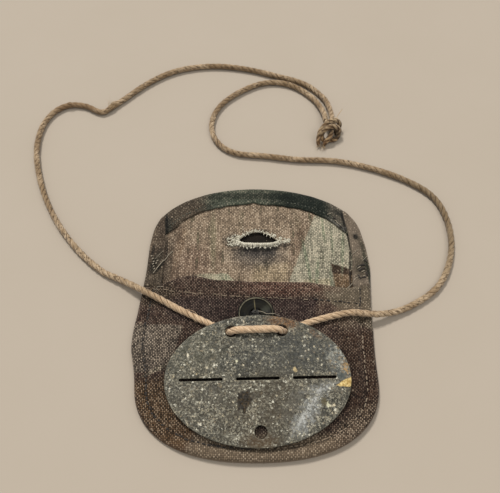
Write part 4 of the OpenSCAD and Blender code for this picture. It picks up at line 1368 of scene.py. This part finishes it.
def facing_cut():
    angle = np.linspace(0, 2 * np.pi, 40, endpoint=False)
    return np.column_stack([slit_middle.x + 0.0066 * np.cos(angle),
                            slit_middle.y + 0.0002 + 0.00022 * np.sin(angle) + 0.0002 * np.cos(2 * angle)])


def level(height):
    return lambda x, y: height + 0 * x


facing = thin_piece("buttonhole_facing_painted_shade", [facing_rim, facing_cut()],
                    level(0.00036), level(0.00010), level(0.00023), step=0.0008, edge=0.00012)
painted_shade_cloth = printed_cloth("flap outer layer in painted shade", 0.78, (27, 22, 17), [], [],
                             contrast=0.25, streaks=0.2, worn_edge=0.0)
dress(facing, painted_shade_cloth)


# Button
# Pressed metal with a rolled rim and a sunk middle with four holes, painted dark green. The paint
# is rubbed to pale metal on the rim, which is paler still towards the lamp, a painted highlight.
# The sunk middle has painted shade, and a painted sheen lies to the right of it.
button_round = (button_high.x - button_low.x) / 2
button_tall = button_high.z - button_low.z
hole_apart, hole_round = 0.0013, 0.00065
BUTTON_SHARE = (0.00, 0.34, 0.40, 0.62, 0.84, 0.885, 0.93, 0.97, 1.00)
BUTTON_UPPER = (0.40, 0.40, 0.50, 0.60, 0.74, 0.90, 1.00, 1.00, 0.90)


def button_share(x, y):
    """How far out on the button, as a share of its radius."""
    return np.hypot(x - button_middle.x, y - button_middle.y) / button_round


def button_top(x, y):
    return button_low.z + button_tall * eased(button_share(x, y), BUTTON_SHARE, BUTTON_UPPER)


def button_under(x, y):
    return button_low.z + button_tall * eased(button_share(x, y), (0.64, 0.88, 1.0), (0.0, 0.32, 0.70))


button_rim = ring(button_middle.x, button_middle.y, button_round, button_round, 120)
thread_holes = [
    ring(button_middle.x + sx * hole_apart, button_middle.y + sy * hole_apart, hole_round, hole_round, 24)
    for sx in (-1, 1) for sy in (-1, 1)]
button = thin_piece("button_metal", [button_rim] + thread_holes, button_top, button_under,
                    lambda x, y: 0.5 * (button_top(x, y) + button_under(x, y)), step=0.00032, edge=0.00022)

button_paint, tree, shader = finish_material("button paint", roughness=0.6, specular=0.12)
place = put(tree, "TexCoord").outputs["Object"]
from_middle = vector(tree, "SUBTRACT", place, (button_middle.x, button_middle.y, 0.0))
from_middle = vector(tree, "MULTIPLY", from_middle, (1.0, 1.0, 0.0))
radius_share = calc(tree, "DIVIDE", vector(tree, "LENGTH", from_middle), button_round)
patchy = cloudy(tree, place, 0.0022, 4.0)
# painted highlight: the rubbed rim is paler on the side towards the lamp
lit_side = vector(tree, "DOT_PRODUCT", from_middle, (-0.55, 0.84, 0.0))
rubbed = times(tree, step_between(tree, radius_share, 0.868, 0.890),
               step_between(tree, radius_share, 0.935, 0.915), step_between(tree, patchy, 0.30, 0.52),
               step_between(tree, lit_side, -0.5 * button_round, 0.9 * button_round, 0.25, 1.0))
scratch = blot_mask(tree, place, -0.1, 0.3, 0.22, 2.3, 6, 0.6, 0.8, 0.4)
# painted sheen to the right of the middle
painted_sheen = blot_mask(tree, place, 4.2, -1.6, 2.4, 1.2, math.degrees(0.6), 1.0, 1.0, 0.6)
# painted shade in the sunk middle
painted_well_shade = step_between(tree, radius_share, 0.46, 0.32)
paint = mix(tree, step_between(tree, patchy, 0.35, 0.7), shade(12, 12, 8), shade(27, 26, 19))
for mask, strength, tint in ((painted_well_shade, 0.95, shade(3, 3, 2)), (painted_sheen, 0.22, shade(88, 90, 74)),
                             (scratch, 0.85, shade(98, 90, 66)), (rubbed, 0.85, shade(138, 131, 110))):
    paint = mix(tree, times(tree, mask, strength), paint, tint)
give(tree, shader.inputs, Base_Color=paint, Roughness=step_between(tree, patchy, 0.3, 0.7, 0.50, 0.72))
relief(tree, shader, calc(tree, "ADD", patchy, cloudy(tree, place, 0.0005)), depth=0.00006)
dress(button, button_paint)
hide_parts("button")


# Button thread
# Dark grey thread, crossed over the four holes several times and tied off in a lump. One pale
# loose end runs out over the rim.
def cross_threads():
    """Five strands each way over the holes, and the lump of the knot."""
    draw = np.random.default_rng(71)
    floor = button_low.z + BUTTON_UPPER[0] * button_tall
    strand_apart, half_long = 0.00022, 0.00195
    strands = []
    for turn in (45, 135):
        angle = math.radians(turn)
        for k in range(5):
            off = (k - 2) * strand_apart
            t = np.linspace(-1, 1, 11)
            along = half_long * t
            x = button_middle.x + along * math.cos(angle) - off * math.sin(angle)
            y = button_middle.y + along * math.sin(angle) + off * math.cos(angle)
            z = floor + 0.00020 + 0.00075 * (1 - t ** 4) + 0.0002 * (turn == 135)
            z = z - 0.0009 * (np.abs(t) > 0.95) + draw.normal(scale=0.00004)
            strands.append(strand(x, y, z, 0.00020, 7))
    for k in range(7):
        t = np.linspace(0, 2 * np.pi * draw.uniform(0.6, 1.1), 14)
        r = draw.uniform(0.0004, 0.0009)
        x = button_middle.x - 0.0002 + r * np.cos(t + k)
        y = button_middle.y + 0.0004 + 0.7 * r * np.sin(t + k)
        z = floor + 0.0011 + 0.0004 * np.sin(2 * t + k)
        strands.append(strand(x, y, z, 0.00019, 7))
    return strands


button_thread = bundle("button_cross_thread", cross_threads())
loose_end = bundle("button_loose_thread", [tube(flowing([
    (0.0014, -0.0026, 0.0058), (0.0029, -0.0031, 0.0062), (0.0046, -0.0040, 0.0064),
    (0.0063, -0.0042, 0.0070), (0.0077, -0.0043, 0.0070), (0.0089, -0.0043, 0.0058),
    (0.0098, -0.0042, 0.0048)], 0.0003), 0.00013)])
dark_thread = thread_material("button thread", shade(66, 63, 56), shade(22, 21, 18))
stray_thread = thread_material("stray thread", shade(176, 166, 146), shade(112, 102, 86), 0.4)
dress(button_thread, dark_thread)
dress(loose_end, stray_thread)
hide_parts("button_thread")


# Loose threads of the hems
# Broken ends of the pale sewing thread: one long end and small beads on the left hem, crossed
# stitches low on the right hem, some of them soiled black, and ends at both corners of the mouth.
def lying(points, thin, lift=0.16):
    """A thread along places x, y that lies on whatever is under it, all in millimetres."""
    line = flowing([(x / 1000, y / 1000, 0.0) for x, y in points], 0.0003)
    x, y = line[:, 0], line[:, 1]
    on_pocket = y < mouth(x)
    far, _ = rim_distance(x, y)
    on_hem = (x < fold_x(y, LEFT_FOLD)) | (x > fold_x(y, RIGHT_FOLD)) | (far < tip_hem_wide) & (y > 0.034)
    top = np.where(on_pocket, front_upper(x, y), np.where(on_hem, hem_high + 0.00022, flap_top(x, y)))
    for _ in range(3):
        top = np.r_[top[0], np.maximum(top[1:-1], 0.5 * (top[:-2] + top[2:])), top[-1]]
    line[:, 2] = top + lift / 1000
    return tube(line, thin / 1000)


left_ends = bundle("left_hem_threads", [
    lying([(-42.4, 16.0), (-40.1, 19.8), (-38.1, 22.8), (-36.7, 25.4), (-35.1, 27.1)], 0.17, 0.34),
    lying([(-42.2, 22.8), (-40.5, 25.0), (-39.1, 26.7)], 0.08),
    lying([(-41.9, 8.6), (-40.4, 8.2), (-39.8, 9.0), (-38.5, 8.8), (-37.2, 8.6)], 0.12)] + [
    lying([(x - 0.2, y - 0.3), (x, y), (x + 0.3, y + 0.2)], 0.28, 0.32) for x, y in (
        (-43.7, 24.3), (-43.1, 23.0), (-42.6, 21.6), (-42.8, 20.5), (-42.5, 19.3), (-42.1, 18.1),
        (-41.5, 20.8), (-41.1, 22.0))])
right_ends = bundle("right_hem_threads", [lying(*row) for row in (
    ([(41.3, 24.9), (43.0, 26.4), (44.6, 27.6)], 0.10),
    ([(45.4, 21.9), (46.5, 23.0), (47.5, 24.1)], 0.11),
    ([(43.0, 18.2), (44.4, 19.2)], 0.20, 0.3),
    ([(44.6, 16.6), (45.9, 17.3)], 0.20, 0.3),
    ([(45.0, 14.6), (46.0, 15.0)], 0.20, 0.3),
    ([(38.2, 8.9), (39.9, 11.1), (41.9, 13.6), (43.9, 14.7)], 0.15),
    ([(38.3, 9.6), (39.6, 10.8), (41.2, 11.6), (42.8, 11.9)], 0.18, 0.24),
    ([(32.2, 45.4), (33.3, 45.7), (34.1, 46.2)], 0.17),
    ([(35.2, 42.4), (35.9, 41.9), (36.4, 40.8), (36.9, 40.5)], 0.18),
    ([(37.3, 40.2), (38.0, 39.5)], 0.18))])
right_soiled = bundle("right_hem_soiled_stitches", [lying(places, 0.36, 0.26) for places in (
    [(43.0, 19.0), (44.5, 19.8), (46.4, 20.1)], [(43.6, 17.2), (45.0, 18.2), (46.3, 18.4)],
    [(43.6, 13.4), (44.9, 14.0), (46.2, 14.2)], [(43.2, 15.2), (43.6, 14.0)],
    [(46.6, 16.6), (47.0, 15.0)], [(46.4, 22.4), (47.3, 21.6)],
    [(34.7, 43.6), (35.7, 43.0)], [(37.2, 39.4), (38.1, 38.4)], [(39.4, 38.6), (39.8, 37.0)])])
dress(left_ends, stray_thread)
dress(right_ends, stray_thread)
dress(right_soiled, soiled_thread)


# Disc
# Stamped zinc alloy, oval, with three slots along which the lower half breaks off, two holes for
# the cord and one below. Corroded all over: pits, pale crust, rust at the top, white bloom and
# a pale yellow wedge of flaked metal at the right edge.
disc_low, disc_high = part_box("disc")
disc_middle = (disc_low + disc_high) / 2
disc_wide, disc_tall, disc_thick = 0.070, 0.050, 0.0012
slot_long, slot_wide, slot_step = 0.0162, 0.0009, 0.0213
cord_hole_round, cord_hole_x, cord_hole_y = 0.00225, 0.0098, 0.0185
end_hole_round, end_hole_x, end_hole_y = 0.0023, 0.0006, -0.0194
disc_lean = math.asin((disc_high.z - disc_low.z - disc_thick) / disc_tall)
disc_turn = math.radians(1.3)
disc_place = (Matrix.Translation(disc_middle) @ Matrix.Rotation(disc_lean, 4, "X")
              @ Matrix.Rotation(disc_turn, 4, "Z"))


def worn_rim(loop, amount, seed):
    """A rim that corrosion has nibbled."""
    out = loop - loop.mean(0)
    out /= np.linalg.norm(out, axis=1)[:, None]
    nibble = waves(*loop.T, 0.0022, seed) + 0.6 * waves(*loop.T, 0.0008, seed + 1)
    return loop + amount * nibble[:, None] * out


def break_slot(x):
    """A slot with round ends, its middle at x."""
    half = (slot_long - slot_wide) / 2
    side = np.linspace(-half, half, 30)
    turn = np.linspace(-np.pi / 2, np.pi / 2, 8)[1:-1]
    r = slot_wide / 2
    return np.vstack([np.column_stack([x + side, np.full(30, -r)]),
                      np.column_stack([x + half + r * np.cos(turn), r * np.sin(turn)]),
                      np.column_stack([x - side, np.full(30, r)]),
                      np.column_stack([x - half - r * np.cos(turn), -r * np.sin(turn)])])


def corroded(x, y):
    """Pits and crust on the upper face, in metres."""
    pit_deep, crust_high, grain_high, bulge_high = 0.00014, 0.00010, 0.000018, 0.00005
    fine = waves(x, y, 0.00085, 81)
    pits = -np.maximum(0, waves(x, y, 0.0014, 82) - 0.35) * pit_deep
    crust = np.maximum(0, waves(x, y, 0.0011, 83) - 0.30) * crust_high
    return pits + crust + grain_high * fine + bulge_high * waves(x, y, 0.009, 84)


nibbled = 0.00009
disc_rims = [worn_rim(ring(0, 0, disc_wide / 2, disc_tall / 2, 400), nibbled, 85)]
disc_rims += [break_slot(k * slot_step) for k in (-1, 0, 1)]
disc_rims += [ring(side * cord_hole_x, cord_hole_y, cord_hole_round, cord_hole_round, 44) for side in (-1, 1)]
disc_rims += [ring(end_hole_x, end_hole_y, end_hole_round, end_hole_round, 44)]
disc = thin_piece("disc_metal", disc_rims, lambda x, y: disc_thick / 2 + corroded(x, y),
                  lambda x, y: -disc_thick / 2 - 0.6 * corroded(-x, y), level(0), step=0.00052, edge=0.00032)
disc.data.transform(disc_place)

zinc, tree, shader = finish_material("corroded zinc", roughness=0.6, specular=0.35)
place = put(tree, "TexCoord").outputs["Object"]
coats = []


def coat(tint, *masks):
    """One more tint over the metal, by the product of its masks."""
    coats.append((times(tree, *masks), shade(*tint) if isinstance(tint, tuple) else tint))


def oval_on_disc(*row):
    return blot_mask(tree, place, *row)


def grit(size, shift, low, high, detail=3.0):
    """Irregular grains of about that size, as a mask."""
    moved = vector(tree, "ADD", place, (shift, 0.7 * shift, 0.3 * shift))
    return step_between(tree, cloudy(tree, moved, size, detail, 0.62), low, high)


def gritty_share(low, high, to_low, to_high):
    return step_between(tree, gritty, low, high, to_low, to_high)


def two_tints(mask, first, second):
    return mix(tree, mask, shade(*first), shade(*second))


def flecks(size, share, shift, strength, first, second):
    """Separate grains of crust, more of them where it is dense, in two tints."""
    moved = vector(tree, "ADD", crumbled, (shift, 0.6 * shift, 0.0))
    grains = placed(tree, speckle, Position=moved, Size=size, Share=times(tree, dense, share))
    coat(two_tints(step_between(tree, grains["Tone"], 0.60, 0.90), first, second), grains["Mask"], strength)
    return grains["Mask"]


broad = cloudy(tree, place, 0.014)
gritty = cloudy(tree, place, 0.0007, 3.0, 0.6)
crumbled = shaken(tree, place, 2200.0, 0.0024, 3.0, 0.65)
dense = step_between(tree, cloudy(tree, place, 0.0042, 5.0, 0.65), 0.40, 0.58, 0.30, 1.15)
# Where the crust is thin: strength, middle x and y, half size x and y
for strength, *oval in ((0.60, 17.5, -20.5, 13.0, 7.0), (0.50, 10.5, -40.5, 6.0, 7.5),
                        (0.45, 1.0, -26.2, 7.0, 3.6)):
    thin_crust = oval_on_disc(*oval, 0, 1.2, 5, 0.6)
    dense = times(tree, dense, calc(tree, "MULTIPLY_ADD", thin_crust, -strength, 1.0))
# Broad patches: tint, strength, middle x and y, half size x and y, turn, raggedness, grain, softness
for tint, strength, *oval in (
        ((60, 63, 61), 0.60, 16.5, -21.5, 16.5, 8.8, 0, 1.0, 6, 0.6),
        ((78, 78, 62), 0.40, -24.0, -20.5, 10.0, 9.0, 30, 1.2, 5, 0.6),
        ((72, 62, 45), 0.50, 5.0, -41.0, 17.0, 13.0, 20, 1.2, 7, 0.7),
        ((76, 69, 55), 0.40, -19.0, -38.0, 15.0, 11.0, -20, 1.2, 7, 0.7)):
    coat(tint, oval_on_disc(*oval), strength)
# Thin white haze at the lower right
for strength, *oval in ((0.40, 19.6, -41.5, 2.4, 10.0, -36), (0.30, 24.0, -34.0, 8.0, 1.8, 14),
                        (0.40, 16.5, -48.5, 2.6, 4.0, -10), (0.12, 17.5, -40.5, 5.6, 7.0, -36)):
    coat((152, 154, 150), oval_on_disc(*oval, 2.4, 2.2, 0.6), gritty_share(0.38, 0.60, 0.35, 1.25), strength)

# Dark pits, dull grains and then the pale crust, from the finest grains to the largest flakes
pits = grit(0.0009, 0.13, 0.46, 0.36)
coat((44, 44, 38), grit(0.0021, 0.09, 0.47, 0.34), 0.40)
coat((92, 89, 76), grit(0.0017, 0.19, 0.52, 0.64), 0.40)
coat((34, 34, 28), pits, 0.55)
flecks(0.00085, 0.85, 0.31, 0.75, (38, 38, 32), (46, 40, 30))
coat((98, 95, 83), grit(0.0010, 0.71, 0.50, 0.60, 5.0), dense, 0.58)
coat((142, 136, 118), grit(0.0007, 0.77, 0.53, 0.60, 4.0), dense, 0.78)
flecks(0.00084, 0.95, 0.17, 0.80, (128, 124, 110), (132, 116, 92))
crust = 0.0
for row in ((0.00090, 0.95, 0.21, 0.88, (148, 144, 128), (146, 136, 112)),
            (0.00100, 0.90, 0.25, 0.95, (174, 170, 152), (168, 157, 131)),
            (0.00124, 0.60, 0.29, 0.96, (206, 202, 184), (196, 184, 156)),
            (0.00175, 0.05, 0.37, 0.90, (200, 194, 174), (192, 174, 134))):
    crust = calc(tree, "MAXIMUM", crust, flecks(*row))

# Rust by the right cord hole and below it, damp brown at the foot, and the brown stain
coat(two_tints(grit(0.0008, 0.33, 0.45, 0.57), (72, 52, 35), (124, 94, 64)),
     oval_on_disc(11.0, -7.8, 5.6, 3.2, -14, 1.5, 2.4, 0.45), gritty_share(0.36, 0.56, 0.45, 0.95))
coat((110, 84, 60), oval_on_disc(23.2, -13.2, 3.0, 1.1, -38, 1.6, 1.6, 0.45),
     grit(0.0008, 0.37, 0.42, 0.56), 0.5)
coat((78, 60, 38), oval_on_disc(1.8, -53.2, 6.2, 3.0, 0, 1.4, 2.0, 0.6), gritty_share(0.36, 0.6, 0.3, 0.7))
stain = oval_on_disc(-4.2, -38.4, 2.4, 3.4, -6, 0.9, 1.1, 0.14)
for oval in ((-3.0, -36.0, 0.8, 1.4, -12), (-5.6, -36.6, 0.7, 1.3, 34), (-5.6, -40.8, 0.7, 1.5, -20),
             (-4.0, -42.1, 0.6, 1.3, 4), (-2.2, -38.2, 1.2, 0.8, 12)):
    stain = calc(tree, "MAXIMUM", stain, oval_on_disc(*oval, 1.0, 1.0, 0.3))
coat(two_tints(grit(0.0009, 0.41, 0.48, 0.66), (24, 18, 8), (66, 51, 26)), stain, 0.95)

# White bloom with its two brighter ridges
bloom = oval_on_disc(20.4, -41.2, 3.0, 9.2, -36, 2.2, 2.2, 0.6)
coat((104, 106, 105), bloom, 0.20)
coat((186, 187, 182), bloom, grit(0.0009, 0.81, 0.52, 0.60, 4.0), 0.62)
ridges = calc(tree, "MAXIMUM", oval_on_disc(19.0, -42.0, 0.7, 7.8, -36, 1.8, 1.6, 0.8),
              oval_on_disc(26.2, -33.8, 3.6, 0.5, 24, 1.8, 1.6, 0.8))
coat((186, 186, 180), ridges, gritty_share(0.42, 0.58, 0.05, 0.75))

# Salts, an orange edge and the pale yellow wedge at the right
salts = oval_on_disc(32.2, -23.2, 4.0, 6.6, 18, 2.2, 1.8, 0.6)
coat((106, 110, 108), salts, 0.45)
for tint, *grains, strength in (((168, 166, 154), 0.0011, 0.45, 0.50, 0.60, 0.70),
                                ((140, 116, 78), 0.0013, 0.49, 0.55, 0.64, 0.75),
                                ((58, 62, 60), 0.0012, 0.53, 0.43, 0.36, 0.75)):
    coat(tint, salts, grit(*grains), strength)
coat((164, 130, 80), oval_on_disc(34.2, -26.8, 1.6, 2.8, 10, 1.6, 1.2, 0.5),
     grit(0.0009, 0.57, 0.44, 0.54), 0.75)
coat((62, 68, 66), oval_on_disc(32.2, -29.2, 1.8, 1.3, 0, 1.4, 1.0, 0.4), 0.75)
WEDGE = [(28.6, -32.9), (32.5, -31.2), (34.6, -29.6), (37.2, -28.0), (37.2, -33.3), (33.0, -33.4)]
wedge = patch_mask(tree, shaken(tree, place, 900.0, 0.0009), WEDGE, 0.22)
coat(two_tints(grit(0.0008, 0.61, 0.40, 0.60), (164, 134, 72), (214, 190, 130)), wedge, 0.95)
for tint, *oval in (((80, 72, 48), 25.2, -39.0, 1.2, 1.5), ((206, 202, 172), 26.6, -40.0, 0.6, 1.0),
                    ((180, 160, 118), 14.9, -27.0, 0.6, 1.0), ((214, 206, 184), -25.6, -21.5, 0.5, 0.8),
                    ((206, 202, 172), -7.0, -23.8, 0.4, 0.6)):
    coat(tint, oval_on_disc(*oval, 15, 2.8, 0.7, 0.3), 0.85)

# The rim, rubbed pale on its edge, with painted shade at the very side
far = put(tree, "Attribute", attribute_name="rim_far").outputs["Fac"]
coat((150, 146, 130), step_between(tree, far, 0.00050, 0.00025), gritty_share(0.40, 0.56, 0.0, 0.28))
coat((24, 23, 20), step_between(tree, far, 0.00011, 0.00003))
metal = two_tints(step_between(tree, broad, 0.38, 0.62), (47, 48, 43), (55, 52, 43))
for mask, tint in coats:
    metal = mix(tree, mask, metal, tint)
bare = times(tree, calc(tree, "SUBTRACT", 1.0, crust), gritty_share(0.35, 0.6, 0.10, 0.38))
give(tree, shader.inputs, Base_Color=metal, Metallic=bare, Roughness=gritty_share(0.35, 0.65, 0.45, 0.75))
crust_height = calc(tree, "ADD", times(tree, crust, 0.6), gritty)
relief(tree, shader, calc(tree, "SUBTRACT", crust_height, times(tree, pits, 0.6)), depth=0.00010)
dress(disc, zinc)
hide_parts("disc")


# Surface and light
# A plain pale table, with one large soft lamp behind the tag to the left, a weaker one in front,
# and an even sky.
table_half, table_top = 4, -0.0001
table_corners = [(sx * table_half, sy * table_half, table_top)
                 for sx, sy in ((-1, -1), (1, -1), (1, 1), (-1, 1))]
table = build("table", table_corners, [(0, 1, 2, 3)])
pale, tree, shader = finish_material("pale table", roughness=0.75, specular=0.2)
place = put(tree, "TexCoord").outputs["Object"]
give(tree, shader.inputs, Base_Color=mix(tree, cloudy(tree, place, 0.05), shade(171, 160, 146),
                                         shade(167, 156, 141)))
table.data.materials.append(pale)

world = bpy.data.worlds.new("sky")
world.use_nodes = True
sky = world.node_tree.nodes["Background"].inputs
sky["Color"].default_value = (1.0, 0.985, 0.96, 1)
sky["Strength"].default_value = 0.50
bpy.context.scene.world = world


def lamp(name, place, spread, strength, tint):
    """A far lamp in the direction of place. spread is how wide it looks, in degrees."""
    light = bpy.data.lights.new(name, "SUN")
    light.angle = math.radians(spread)
    light.energy = strength
    light.color = tint
    thing = bpy.data.objects.new(name, light)
    thing.location = place
    thing.rotation_euler = (-Vector(place)).to_track_quat("-Z", "Y").to_euler()
    bpy.context.scene.collection.objects.link(thing)


lamp("window_lamp", (-0.26, 0.52, 0.85), 11, 2.55, (1.0, 0.975, 0.94))
lamp("room_lamp", (0.45, -0.15, 0.95), 38, 0.68, (1.0, 0.985, 0.96))
bpy.context.scene.view_settings.view_transform = "Standard"
bpy.context.scene.view_settings.look = "None"
